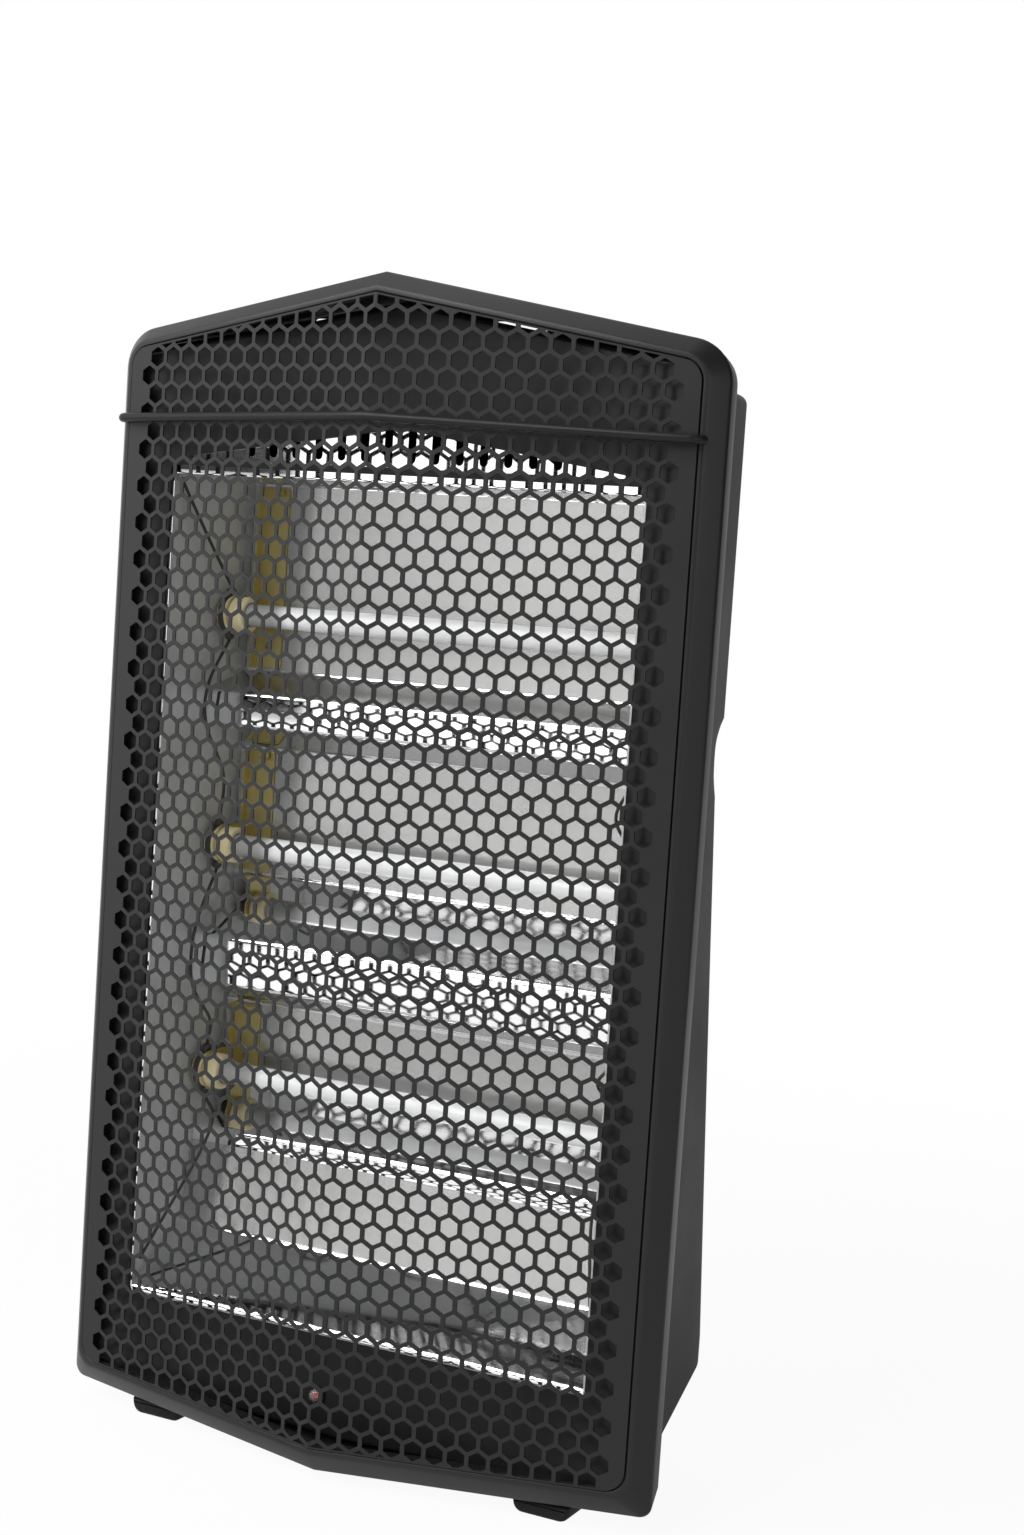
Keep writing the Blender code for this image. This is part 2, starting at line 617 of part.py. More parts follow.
# Front frame
def make_bezel(finish, frame):
    bottom = RIM_WIDTH + BOTTOM_RIM_EXTRA
    ledge_bottom = bottom + LEDGE_WIDTH
    ledge_back = LEDGE_SETBACK + LEDGE_THICKNESS
    sections = [
        (BEZEL_DRAFT, BEZEL_DRAFT, None),
        (0, 0, RIM_SETBACK),
        (RIM_EDGE_ROUND, RIM_EDGE_ROUND, RIM_SETBACK - RIM_EDGE_ROUND),
        (RIM_CREST_INSET, RIM_CREST_INSET + BOTTOM_RIM_EXTRA, RIM_CREST_SETBACK),
        (RIM_WIDTH, bottom, RIM_CREST_SETBACK),
        (RIM_WIDTH, bottom, LEDGE_SETBACK),
        (LEDGE_INSET, ledge_bottom, LEDGE_SETBACK),
        (LEDGE_INSET, ledge_bottom, ledge_back),
        (RIM_WIDTH, bottom, ledge_back),
        (BEZEL_WALL, BEZEL_WALL, BEZEL_WALL_SETBACK),
        (BEZEL_WALL + BEZEL_DRAFT, BEZEL_WALL + BEZEL_DRAFT, None)]
    rings = []
    for side_inset, bottom_inset, setback in sections:
        ring = []
        for x, z in front_outline(side_inset, bottom_inset):
            ring.append(Vector((x, BEZEL_BACK if setback is None else prow(x) + setback, z)))
        rings.append(ring)
    mesh = close_mesh("front_bezel", loft(rings, closed=True), ROUND_LIMIT_DEGREES)
    return place("front_bezel", mesh, finish, frame)


# Hexagon guard
def hexagon_holes(outline):
    """Whole hexagons of the guard's pattern that keep a margin to its outline."""
    reach = (HEX_PITCH - HEX_BAR) / math.sqrt(3)
    row_pitch = HEX_PITCH * HEX_ROW_SHARE
    half_span = max(point.x for point in outline)
    rows_above = math.ceil((PEAK_HEIGHT - HEX_ANCHOR_HEIGHT) / row_pitch)
    rows_below = math.ceil(HEX_ANCHOR_HEIGHT / row_pitch)
    holes = []
    for row in range(-rows_below, rows_above + 1):
        level = HEX_ANCHOR_HEIGHT + row * row_pitch
        shift = HEX_PITCH / 2 if row % 2 else 0
        columns = math.ceil(half_span / HEX_PITCH)
        for column in range(-columns - 1, columns + 1):
            middle = Vector((column * HEX_PITCH + shift, level))
            hole, kept = [], []
            for corner in range(6):
                angle = math.radians(60 * corner + 30)
                spoke = Vector((math.cos(angle), math.sin(angle)))
                hole.append(middle + spoke * reach)
                kept.append(middle + spoke * (reach + HEX_EDGE_MARGIN))
            if all(inside(corner, outline) for corner in kept):
                holes.append(hole)
    return holes


def make_grille(finish, frame):
    """A flat pattern of holes, folded at the prow. Its flat width is measured along the wings."""
    stretch = 1 / math.cos(PROW_ANGLE)
    flat = [Vector((x * stretch, z))
            for x, z in front_outline(GRILLE_INSET, GRILLE_INSET + BOTTOM_RIM_EXTRA)]
    fold = [min(flat, key=lambda point: (abs(point.x), point.y)),
            min(flat, key=lambda point: (abs(point.x), -point.y))]

    def folded(along, height):
        return Vector((along / stretch, abs(along) * math.sin(PROW_ANGLE), height))

    shape = flat_faces([flat], hexagon_holes(flat), folded, [fold])
    extrude(shape, shape.faces[:], Vector((0, GRILLE_THICKNESS * stretch, 0)))
    return place("hex_grille", close_mesh("hex_grille", shape), finish, frame)


# Guard rod
def make_guard_rod(finish, frame):
    """A rod bent at the fold, whose ends turn in and seat on the crest of the front frame's rim."""
    end_x = HALF_WIDTH - ROD_END_INSET

    def on_wing(x, lift):
        drop = ROD_END_DROP * abs(x) / end_x
        return Vector((x, prow(x) + lift, ROD_CENTRE_HEIGHT - drop))

    seat = RIM_CREST_SETBACK - SEAT_GAP - ROD_DIAMETER / 2 * PROW_SLOPE
    bend = ROD_BEND_RADIUS
    right = [on_wing(ROD_FOLD_REACH, ROD_CENTRE_SETBACK)]
    right.append(on_wing(end_x / 2, ROD_CENTRE_SETBACK))
    for step in range(ARC_STEPS):
        turn = math.pi / 2 * step / (ARC_STEPS - 1)
        lift = min(ROD_CENTRE_SETBACK + bend * (1 - math.cos(turn)), seat - ROD_TURN_END_LIFT)
        right.append(on_wing(end_x - bend + bend * math.sin(turn), lift))
    right.append(on_wing(end_x, seat))
    middle = on_wing(0, ROD_FOLD_SETBACK)
    left = [Vector((-point.x, point.y, point.z)) for point in reversed(right)]
    return tube_curve("guard_rod", [[*left, middle, *right]], ROD_DIAMETER, finish, frame)


# Inner front panel
def vent_outline():
    """The low gabled opening above the window, through which the slotted reflector flange shows."""
    half = VENT_WIDTH / 2
    return [Vector((-half, VENT_BOTTOM)), Vector((half, VENT_BOTTOM)),
            Vector((half, VENT_BOTTOM + VENT_END_RISE)), Vector((0, VENT_BOTTOM + VENT_PEAK_RISE)),
            Vector((-half, VENT_BOTTOM + VENT_END_RISE))]


def make_panel(finish, frame):
    """A flat pressed pan, its rim turned back to the rear housing's flange."""
    bottom_inset = PANEL_EDGE_INSET + BOTTOM_RIM_EXTRA + PANEL_BOTTOM_EXTRA
    outer = front_outline(PANEL_EDGE_INSET, bottom_inset)
    inner = front_outline(PANEL_EDGE_INSET + PANEL_THICKNESS, bottom_inset + PANEL_THICKNESS)
    window = rectangle(0, (WINDOW_TOP + WINDOW_BOTTOM) / 2, WINDOW_WIDTH,
                       WINDOW_TOP - WINDOW_BOTTOM, WINDOW_CORNER)
    lamp = circle(LAMP_X, LAMP_HEIGHT, LAMP_DIAMETER + 2 * SEAT_GAP)
    peeps = [rectangle(side * PEEP_CENTRE_X, PEEP_CENTRE_HEIGHT, PEEP_WIDTH, PEEP_HEIGHT)
             for side in (-1, 1)]

    def lift(x, z):
        return Vector((x, PANEL_DEPTH, z))

    shape = flat_faces([outer, inner], [window, vent_outline(), lamp, *peeps], lift)
    back = extrude(shape, shape.faces[:], Vector((0, PANEL_THICKNESS, 0)))
    rim = []
    for face in back:
        middle = face.calc_center_median()
        if not inside(Vector((middle.x, middle.z)), inner):
            rim.append(face)
    rim_length = FLANGE_FRONT - SEAT_GAP - PANEL_DEPTH - PANEL_THICKNESS
    extrude(shape, rim, Vector((0, rim_length, 0)), keep=False)
    return place("front_panel", close_mesh("front_panel", shape), finish, frame)


# Reflector
def reflector_line():
    """The polished sheet's front side in section, as (depth, height), from its top down."""
    front = PANEL_DEPTH + PANEL_THICKNESS + SEAT_GAP
    upper_bottom = UPPER_RIDGE_TOP - UPPER_RIDGE_HEIGHT
    lower_bottom = LOWER_RIDGE_TOP - LOWER_RIDGE_HEIGHT
    return [(front, REFLECTOR_FLANGE_TOP), (front, REFLECTOR_TOP), (TROUGH_DEPTH, REFLECTOR_TOP),
            (TROUGH_DEPTH, UPPER_RIDGE_TOP + FIRST_TROUGH_FALL), (RIDGE_DEPTH, UPPER_RIDGE_TOP),
            (RIDGE_DEPTH, upper_bottom), (TROUGH_DEPTH, upper_bottom - RIDGE_UNDERCUT_RISE),
            (TROUGH_DEPTH, LOWER_RIDGE_TOP + SECOND_TROUGH_FALL), (RIDGE_DEPTH, LOWER_RIDGE_TOP),
            (RIDGE_DEPTH, lower_bottom), (TROUGH_DEPTH, lower_bottom - RIDGE_UNDERCUT_RISE),
            (TROUGH_DEPTH, SILL_BACK_HEIGHT), (SILL_FRONT_DEPTH, SILL_FRONT_HEIGHT),
            (SILL_FRONT_DEPTH, SILL_FRONT_HEIGHT - SILL_LIP), (FLOOR_BEND_DEPTH, FLOOR_BEND_HEIGHT),
            (front, REFLECTOR_BOTTOM), (front, REFLECTOR_LOWEST)]


def offset_line(line, distance):
    """The same open line moved sideways by a distance, with mitred corners."""
    moved = []
    for index, point in enumerate(line):
        here = Vector(point)
        sides = []
        if index > 0:
            sides.append((here - Vector(line[index - 1])).normalized())
        if index < len(line) - 1:
            sides.append((Vector(line[index + 1]) - here).normalized())
        normals = [Vector((-run.y, run.x)) for run in sides]
        mitre = sum(normals, Vector((0, 0))).normalized()
        moved.append(here + mitre * distance / mitre.dot(normals[0]))
    return moved


def make_reflector(finish, frame):
    """One bent sheet whose ends follow the splayed end walls, with a slotted upright top flange."""
    line = reflector_line()
    back = offset_line(line, REFLECTOR_THICKNESS)
    section = [*[Vector(point) for point in line], *reversed(back)]
    rings = []
    for side in (-1, 1):
        ring = []
        for depth, height in section:
            half = end_wall_x(max(depth, PANEL_DEPTH)) - SEAT_GAP
            ring.append(Vector((side * half, depth, height)))
        rings.append(ring)
    sheet = place("reflector", close_mesh("reflector", loft(rings)), finish, frame)
    slots = bmesh.new()
    half_width = VENT_SLOT_WIDTH / 2
    front = line[0][0]
    for index in range(VENT_SLOT_COUNT):
        middle = (index - (VENT_SLOT_COUNT - 1) / 2) * VENT_SLOT_PITCH
        low = (middle - half_width, front - CUT_OVERRUN, VENT_SLOT_BOTTOM)
        high = (middle + half_width, front + CUT_OVERRUN, VENT_SLOT_TOP)
        add_shape(slots, box(low, high))
    cutter = close_mesh("reflector_slots", slots)
    cut(sheet, place("reflector_slot_cutter", cutter, finish, frame))
    return sheet


def add_shape(target, extra):
    """Copy one bmesh into another as a separate shell."""
    carrier = bpy.data.meshes.new("carrier")
    extra.to_mesh(carrier)
    extra.free()
    target.from_mesh(carrier)
    bpy.data.meshes.remove(carrier)


def make_end_wall(side, finish, frame):
    """A splayed end wall, cut to the reflector's depth, behind its ends."""
    name = "reflector_end_right" if side > 0 else "reflector_end_left"
    front = PANEL_DEPTH + PANEL_THICKNESS + SEAT_GAP
    back = TROUGH_DEPTH + REFLECTOR_THICKNESS
    top = REFLECTOR_TOP + END_WALL_TOP_MARGIN
    outline = [(front, REFLECTOR_LOWEST), (FLOOR_BEND_DEPTH, REFLECTOR_LOWEST),
               (back, SILL_FRONT_HEIGHT - SILL_LIP), (back, top), (front, top)]
    rings = []
    for thickness in (0, END_WALL_THICKNESS):
        rings.append([Vector((side * (end_wall_x(depth) + thickness), depth, height))
                      for depth, height in outline])
    return place(name, close_mesh(name, loft(rings)), finish, frame)


# Quartz elements
def cap_outer_x():
    return end_wall_x(ELEMENT_DEPTH + CAP_DIAMETER / 2) - SEAT_GAP


def element_height(index):
    return ELEMENT_TOP_HEIGHT - index * ELEMENT_PITCH


def make_element(index, glass, coil, ceramic, frame):
    """A quartz tube, its heating coil and its two ceramic caps, centred on the tube's axis."""
    middle = (0, ELEMENT_DEPTH, element_height(index))
    cap_inner = cap_outer_x() - CAP_LENGTH
    tube_end = cap_inner + CAP_BORE_DEPTH - SEAT_GAP
    outer, bore = TUBE_DIAMETER / 2, TUBE_DIAMETER / 2 - TUBE_WALL
    profile = [(outer, -tube_end), (outer, tube_end), (bore, tube_end), (bore, -tube_end)]
    hollow = turned(profile, ELEMENT_SIDES, sideways, closed=True)
    tube = close_mesh("tube", hollow, ROUND_LIMIT_DEGREES)
    place("quartz_tube_%d" % (index + 1), tube, glass, frame, middle)
    end = tube_end - COIL_END_MARGIN
    head = end - COIL_HEAD_LENGTH
    head_radius = min(COIL_HEAD_DIAMETER / 2, bore - SEAT_GAP)
    wound = COIL_DIAMETER / 2
    profile = [(head_radius, -end), (head_radius, -head), (wound, -head), (wound, head),
               (head_radius, head), (head_radius, end)]
    winding = close_mesh("winding", turned(profile, SMALL_SIDES, sideways), ROUND_LIMIT_DEGREES)
    place("heating_coil_%d" % (index + 1), winding, coil, frame, middle)
    for side, word in ((-1, "left"), (1, "right")):
        cap = close_mesh("cap", turned(cap_profile(side), ELEMENT_SIDES, sideways), ROUND_LIMIT_DEGREES)
        place("ceramic_cap_%s_%d" % (word, index + 1), cap, ceramic, frame, middle)


def cap_profile(side):
    """A grooved spool with a blind bore for the tube, as (radius, x), from its bore outwards."""
    face = cap_outer_x()
    mouth = face - CAP_LENGTH
    radius, groove = CAP_DIAMETER / 2, CAP_GROOVE_DIAMETER / 2
    bore = TUBE_DIAMETER / 2 + SEAT_GAP
    groove_out = face - CAP_GROOVE_FROM_OUTER
    groove_in = groove_out - CAP_GROOVE_WIDTH
    points = [(bore, mouth + CAP_BORE_DEPTH), (bore, mouth), (radius - CAP_EDGE, mouth),
              (radius, mouth + CAP_EDGE), (radius, groove_in), (groove, groove_in),
              (groove, groove_out), (radius, groove_out), (radius, face - CAP_EDGE),
              (radius - CAP_EDGE, face)]
    return [(across, side * along) for across, along in points]


# Element brackets
def trough_spans():
    """The lowest and highest point of each trough's back wall, from the top trough down."""
    upper_bottom = UPPER_RIDGE_TOP - UPPER_RIDGE_HEIGHT
    lower_bottom = LOWER_RIDGE_TOP - LOWER_RIDGE_HEIGHT
    return [(UPPER_RIDGE_TOP + FIRST_TROUGH_FALL, REFLECTOR_TOP),
            (LOWER_RIDGE_TOP + SECOND_TROUGH_FALL, upper_bottom - RIDGE_UNDERCUT_RISE),
            (SILL_BACK_HEIGHT, lower_bottom - RIDGE_UNDERCUT_RISE)]


def make_bracket(index, side, finish, frame):
    """An angle strip on a trough's back wall, whose forked ear holds a cap in its groove."""
    word = "right" if side > 0 else "left"
    name = "cap_bracket_%s_%d" % (word, index + 1)
    low, high = trough_spans()[index]
    height = element_height(index)
    low, high = low + BRACKET_END_MARGIN, high - BRACKET_END_MARGIN
    back = TROUGH_DEPTH - SEAT_GAP
    leg = back - BRACKET_LEG
    tip = ELEMENT_DEPTH - FORK_REACH
    notch = CAP_GROOVE_DIAMETER / 2 + RUNNING_GAP
    ear_low, ear_high = height - FORK_HALF_HEIGHT, height + FORK_HALF_HEIGHT
    round_notch = []
    for step in range(ROUND_SIDES // 2 + 1):
        angle = math.pi * step / (ROUND_SIDES // 2) - math.pi / 2
        round_notch.append((ELEMENT_DEPTH + notch * math.cos(angle), height + notch * math.sin(angle)))
    outline = [(back, low), (leg, low), (leg, ear_low), (tip, ear_low), (tip, height - notch),
               *round_notch, (tip, height + notch), (tip, ear_high), (leg, ear_high), (leg, high),
               (back, high)]
    groove = cap_outer_x() - CAP_GROOVE_FROM_OUTER - CAP_GROOVE_WIDTH / 2
    plate_x = groove + BRACKET_THICKNESS / 2
    strip = back - BRACKET_THICKNESS
    split = [Vector((strip, low)), Vector((strip, high))]

    def lift(depth, level):
        return Vector((side * plate_x, depth, level))

    shape = flat_faces([[Vector(point) for point in outline]], [], lift, [split])
    inner = extrude(shape, shape.faces[:], Vector((-side * BRACKET_THICKNESS, 0, 0)))
    foot = [face for face in inner if face.calc_center_median().y > strip]
    extrude(shape, foot, Vector((-side * (BRACKET_WIDTH - BRACKET_THICKNESS), 0, 0)), keep=False)
    return place(name, close_mesh(name, shape), finish, frame)


# Element wires
def make_wires(side, finish, frame):
    """Four thin leads that chain the caps at one end, from the top wall down to the floor."""
    word = "right" if side > 0 else "left"
    terminal_x = cap_outer_x() - WIRE_TERMINAL_INSET
    reach = CAP_DIAMETER / 2 + WIRE_DIAMETER / 2 + SEAT_GAP
    ridge_front = RIDGE_DEPTH - WIRE_RIDGE_REACH
    near_x = cap_outer_x() - CAP_LENGTH
    tops = [Vector((side * terminal_x, ELEMENT_DEPTH, element_height(index) + reach))
            for index in range(ELEMENT_COUNT)]
    feet = [Vector((side * terminal_x, ELEMENT_DEPTH, element_height(index) - reach))
            for index in range(ELEMENT_COUNT)]
    front = PANEL_DEPTH + PANEL_THICKNESS + WIRE_FRONT_REACH
    start_x = side * (end_wall_x(front) - WIRE_WALL_GAP)
    start = Vector((start_x, front, REFLECTOR_TOP - WIRE_WALL_GAP))
    mid_start = (start + tops[0]) / 2 + Vector((-side * WIRE_WALL_GAP, -WIRE_WALL_GAP, 0))
    routes = [smooth_route([start, mid_start, tops[0]], WIRE_PIECES)]
    ridges = [(UPPER_RIDGE_TOP, UPPER_RIDGE_HEIGHT), (LOWER_RIDGE_TOP, LOWER_RIDGE_HEIGHT)]
    for index, (ridge_top, ridge_height) in enumerate(ridges):
        above = Vector((side * terminal_x, ridge_front, ridge_top + WIRE_RIDGE_LIFT))
        below = Vector((side * terminal_x, ridge_front, ridge_top - ridge_height))
        swing = Vector((side * near_x, ridge_front, (below.z + tops[index + 1].z) / 2))
        stops = [feet[index], above, below, swing, tops[index + 1]]
        routes.append(smooth_route(stops, BENT_WIRE_PIECES))
    end = Vector((start_x, front, REFLECTOR_BOTTOM + WIRE_END_RISE))
    knee = Vector((side * near_x, SILL_FRONT_DEPTH - WIRE_KNEE_REACH, SILL_FRONT_HEIGHT))
    routes.append(smooth_route([feet[-1], knee, end], WIRE_PIECES))
    for index, route in enumerate(routes):
        tube_curve("element_wire_%s_%d" % (word, index + 1), [route], WIRE_DIAMETER, finish, frame)


# Rear housing
def housing_plan(inset, depth, front):
    """Half-round cornered plan of the housing at one level, from its left front edge round."""
    half_front = HOUSING_FRONT_WIDTH / 2 - inset
    half_back = HOUSING_BACK_WIDTH / 2 - inset
    radius = HOUSING_CORNER_RADIUS - inset
    return rounded_loop([(-half_front, front, 0), (half_front, front, 0),
                         (half_back, depth - inset, radius), (-half_back, depth - inset, radius)])


def housing_rings(inset, front, grow):
    """Rings from the sloped underside to the roof. grow is how far a cutter passes the ends."""
    waist = LOWER_TOP_DEPTH - WAIST_SINK
    levels = [(LOWER_BOTTOM_HEIGHT, LOWER_BOTTOM_DEPTH), (WAIST_BOTTOM, LOWER_TOP_DEPTH),
              (WAIST_BOTTOM + 2 * WAIST_SLOPE_HEIGHT, waist), (WAIST_TOP - WAIST_SLOPE_HEIGHT, waist),
              (WAIST_TOP, UPPER_DEPTH), (HOUSING_TOP - HOUSING_TOP_ROUND, UPPER_DEPTH)]
    base = housing_plan(inset, LOWER_BOTTOM_DEPTH, front)
    rings = [[Vector((x, y, underside(y) + inset)) for x, y in base]]
    for level, depth in levels:
        rings.append([Vector((x, y, level)) for x, y in housing_plan(inset, depth, front)])
    roof = housing_plan(inset + HOUSING_TOP_ROUND - grow, UPPER_DEPTH, front)
    rings.append([Vector((x, y, HOUSING_TOP - inset)) for x, y in roof])
    return rings


def make_housing(finish, frame):
    """A moulded shell with a flange behind the front frame, air slots, and holes for the controls."""
    flange = flat_faces([front_outline(FLANGE_INSET, FLANGE_INSET)], [],
                        lambda x, z: Vector((x, FLANGE_FRONT, z)))
    extrude(flange, flange.faces[:], Vector((0, FLANGE_THICKNESS - SEAT_GAP, 0)))
    housing = place("rear_housing", close_mesh("rear_housing", flange), finish, frame)
    shell_front = FLANGE_FRONT + FLANGE_THICKNESS / 2
    shell = close_mesh("shell_form", loft(housing_rings(0, shell_front, 0)))
    cut(housing, place("housing_shell_form", shell, finish, frame), "UNION")
    hollow = close_mesh("hollow_form", loft(housing_rings(HOUSING_WALL, FLANGE_FRONT - CUT_OVERRUN, 0)))
    cut(housing, place("housing_hollow_cutter", hollow, finish, frame))
    openings = close_mesh("openings", housing_openings())
    cut(housing, place("housing_opening_cutter", openings, finish, frame))
    return housing


def housing_openings():
    """Every opening through the housing's walls, as separate cutting solids."""
    openings = bmesh.new()
    for low, rows in ((UPPER_SLOT_LOW, UPPER_SLOT_ROWS), (LOWER_SLOT_LOW, LOWER_SLOT_ROWS)):
        for row in range(rows):
            level = low + row * SLOT_PITCH
            depth = UPPER_DEPTH if level > WAIST_TOP else housing_depth(level)
            for column in (-1, 1):
                plan = rectangle(column * SLOT_COLUMN_X, level, SLOT_LENGTH, SLOT_HEIGHT, SLOT_CORNER)
                ends = [[Vector((x, depth + reach, z)) for x, z in plan]
                        for reach in (-HOUSING_WALL - CUT_OVERRUN, CUT_OVERRUN)]
                add_shape(openings, loft(ends))
    exhaust = rectangle(0, EXHAUST_CENTRE_HEIGHT, 2 * EXHAUST_HALF_WIDTH, EXHAUST_HEIGHT, SLOT_CORNER)
    ends = [[Vector((x, depth, z)) for x, z in exhaust]
            for depth in (FLANGE_FRONT - CUT_OVERRUN, BEZEL_BACK + CUT_OVERRUN)]
    add_shape(openings, loft(ends))
    for side in (-1, 1):
        hole = SCREW_SHANK_DIAMETER / 2 + SCREW_SHANK_GAP
        profile = [(hole, FLANGE_FRONT - CUT_OVERRUN), (hole, BEZEL_BACK + CUT_OVERRUN)]
        shape = turned(profile, SMALL_SIDES, rearward)
        middle = (side * FLANGE_SCREW_X, 0, FLANGE_SCREW_HEIGHT)
        bmesh.ops.translate(shape, verts=shape.verts, vec=middle)
        add_shape(openings, shape)
        for depth in FOOT_SCREW_DEPTHS:
            add_shape(openings, upright_cutter(hole, side * FOOT_CENTRE_X, depth, underside(depth)))
    bush = SWITCH_BUSH_DIAMETER / 2 + RUNNING_GAP
    add_shape(openings, upright_cutter(bush, KNOB_X, KNOB_DEPTH, HOUSING_TOP))
    plunger = PLUNGER_BORE_DIAMETER / 2
    add_shape(openings, upright_cutter(plunger, FOOT_CENTRE_X, TIP_DEPTH, underside(TIP_DEPTH)))
    gland = GLAND_DIAMETER / 2 + RUNNING_GAP
    depth = housing_depth(GLAND_HEIGHT)
    profile = [(gland, depth - HOUSING_WALL - CUT_OVERRUN), (gland, depth + CUT_OVERRUN)]
    shape = turned(profile, ROUND_SIDES, rearward)
    bmesh.ops.translate(shape, verts=shape.verts, vec=(GLAND_X, 0, GLAND_HEIGHT))
    add_shape(openings, shape)
    return openings


def upright_cutter(radius, x, depth, level):
    """A round cutter through a wall whose outside is at a level."""
    reach = HOUSING_WALL + CUT_OVERRUN
    shape = turned([(radius, level - reach), (radius, level + reach)], SMALL_SIDES, upright)
    bmesh.ops.translate(shape, verts=shape.verts, vec=(x, depth, 0))
    return shape


# Feet
def foot_section(top_width, depth, bottom, top):
    half_top, half_low = top_width / 2, FOOT_WIDTH / 2
    plan = rounded_loop([(-half_low, bottom, FOOT_CORNER), (half_low, bottom, FOOT_CORNER),
                         (half_top, top, 0), (-half_top, top, 0)], steps=2)
    return [Vector((x, depth, z)) for x, z in plan]


def make_foot(side, finish, frame):
    """A foot that shows as a tab under the front frame and runs back under the housing."""
    name = "foot_right" if side > 0 else "foot_left"
    step_front = BEZEL_BACK + SEAT_GAP
    step_back = step_front + FOOT_STEP_GAP
    tab_front = FOOT_FRONT + FOOT_END_SLOPE
    back = FOOT_BACK - FOOT_END_SLOPE
    rings = [foot_section(FOOT_TAB_TOP_WIDTH, FOOT_FRONT, FOOT_END_SLOPE, FOOT_TAB_HEIGHT),
             foot_section(FOOT_TAB_TOP_WIDTH, tab_front, 0, FOOT_TAB_HEIGHT),
             foot_section(FOOT_TAB_TOP_WIDTH, step_front, 0, FOOT_TAB_HEIGHT),
             foot_section(FOOT_WIDTH, step_back, 0, underside(step_back) - SEAT_GAP),
             foot_section(FOOT_WIDTH, back, 0, underside(back) - SEAT_GAP),
             foot_section(FOOT_WIDTH, FOOT_BACK, FOOT_END_SLOPE, underside(FOOT_BACK) - SEAT_GAP)]
    foot = place(name, close_mesh(name, loft(rings)), finish, frame, (side * FOOT_CENTRE_X, 0, 0))
    bores = bmesh.new()
    shank = SCREW_SHANK_DIAMETER / 2 + SCREW_SHANK_GAP
    head = SCREW_HEAD_DIAMETER / 2 + SCREW_SHANK_GAP
    for depth in FOOT_SCREW_DEPTHS:
        seat = underside(depth) - FOOT_SCREW_SKIN
        profile = [(head, -CUT_OVERRUN), (head, seat), (shank, seat),
                   (shank, seat + 2 * FOOT_SCREW_SKIN)]
        shape = turned(profile, SMALL_SIDES, upright)
        bmesh.ops.translate(shape, verts=shape.verts, vec=(0, depth, 0))
        add_shape(bores, shape)
    if side > 0:
        reach = PLUNGER_BORE_DIAMETER / 2
        profile = [(reach, -CUT_OVERRUN), (reach, underside(TIP_DEPTH) + 2 * CUT_OVERRUN)]
        shape = turned(profile, SMALL_SIDES, upright)
        bmesh.ops.translate(shape, verts=shape.verts, vec=(0, TIP_DEPTH, 0))
        add_shape(bores, shape)
    cutter = close_mesh(name + "_bores", bores)
    cut(foot, place(name + "_bore_cutter", cutter, finish, frame, (side * FOOT_CENTRE_X, 0, 0)))
    return foot


# Screws
def screw(point, head_at, direction):
    """A pan head and its shank. The head's underside is at head_at and the shank goes direction."""
    head, shank = SCREW_HEAD_DIAMETER / 2, SCREW_SHANK_DIAMETER / 2
    end = head_at + direction * SCREW_SHANK_LENGTH
    profile = [(head, head_at - direction * SCREW_HEAD_HEIGHT), (head, head_at), (shank, head_at),
               (shank, end)]
    return turned(profile, SMALL_SIDES, point)


def make_screws(finish, frame):
    for side, word in ((-1, "left"), (1, "right")):
        for depth, spot in zip(FOOT_SCREW_DEPTHS, ("front", "rear")):
            seat = underside(depth) - FOOT_SCREW_SKIN - SEAT_GAP
            name = "foot_screw_%s_%s" % (word, spot)
            mesh = close_mesh(name, screw(upright, seat, 1), ROUND_LIMIT_DEGREES)
            place(name, mesh, finish, frame, (side * FOOT_CENTRE_X, depth, 0))
        name = "flange_screw_%s" % word
        mesh = close_mesh(name, screw(rearward, BEZEL_BACK, -1), ROUND_LIMIT_DEGREES)
        place(name, mesh, finish, frame, (side * FLANGE_SCREW_X, 0, FLANGE_SCREW_HEIGHT))


# Carry handle
def make_handle(finish, frame):
    """A bow handle on the roof, with room for the fingers under it."""
    half = HANDLE_SPAN / 2
    base = HOUSING_TOP + SEAT_GAP
    stations = []
    for step in range(2 * ARC_STEPS + 1):
        turn = math.pi * step / (2 * ARC_STEPS)
        flat = math.copysign(abs(math.cos(turn)) ** HANDLE_SQUARE_SHARE, math.cos(turn))
        rise = abs(math.sin(turn)) ** HANDLE_SQUARE_SHARE
        stations.append((flat, rise))
    rings = []
    for index, (flat, rise) in enumerate(stations):
        thickness = HANDLE_FOOT_LENGTH + (HANDLE_THICKNESS - HANDLE_FOOT_LENGTH) * rise
        outer = Vector((half * flat, base + HANDLE_RISE * rise))
        inner = Vector(((half - thickness) * flat, base + (HANDLE_RISE - HANDLE_THICKNESS) * rise))
        ring = []
        for across, end in ((-1, outer), (1, outer), (1, inner), (-1, inner)):
            ring.append(Vector((end.x, HANDLE_DEPTH + across * HANDLE_DEPTH_WIDTH / 2, end.y)))
        rings.append(ring)
    handle = place("carry_handle", close_mesh("carry_handle", loft(rings)), finish, frame)
    edges = handle.modifiers.new("edges", "BEVEL")
    edges.width = HANDLE_EDGE
    edges.segments = 2
    edges.limit_method = "ANGLE"
    return handle


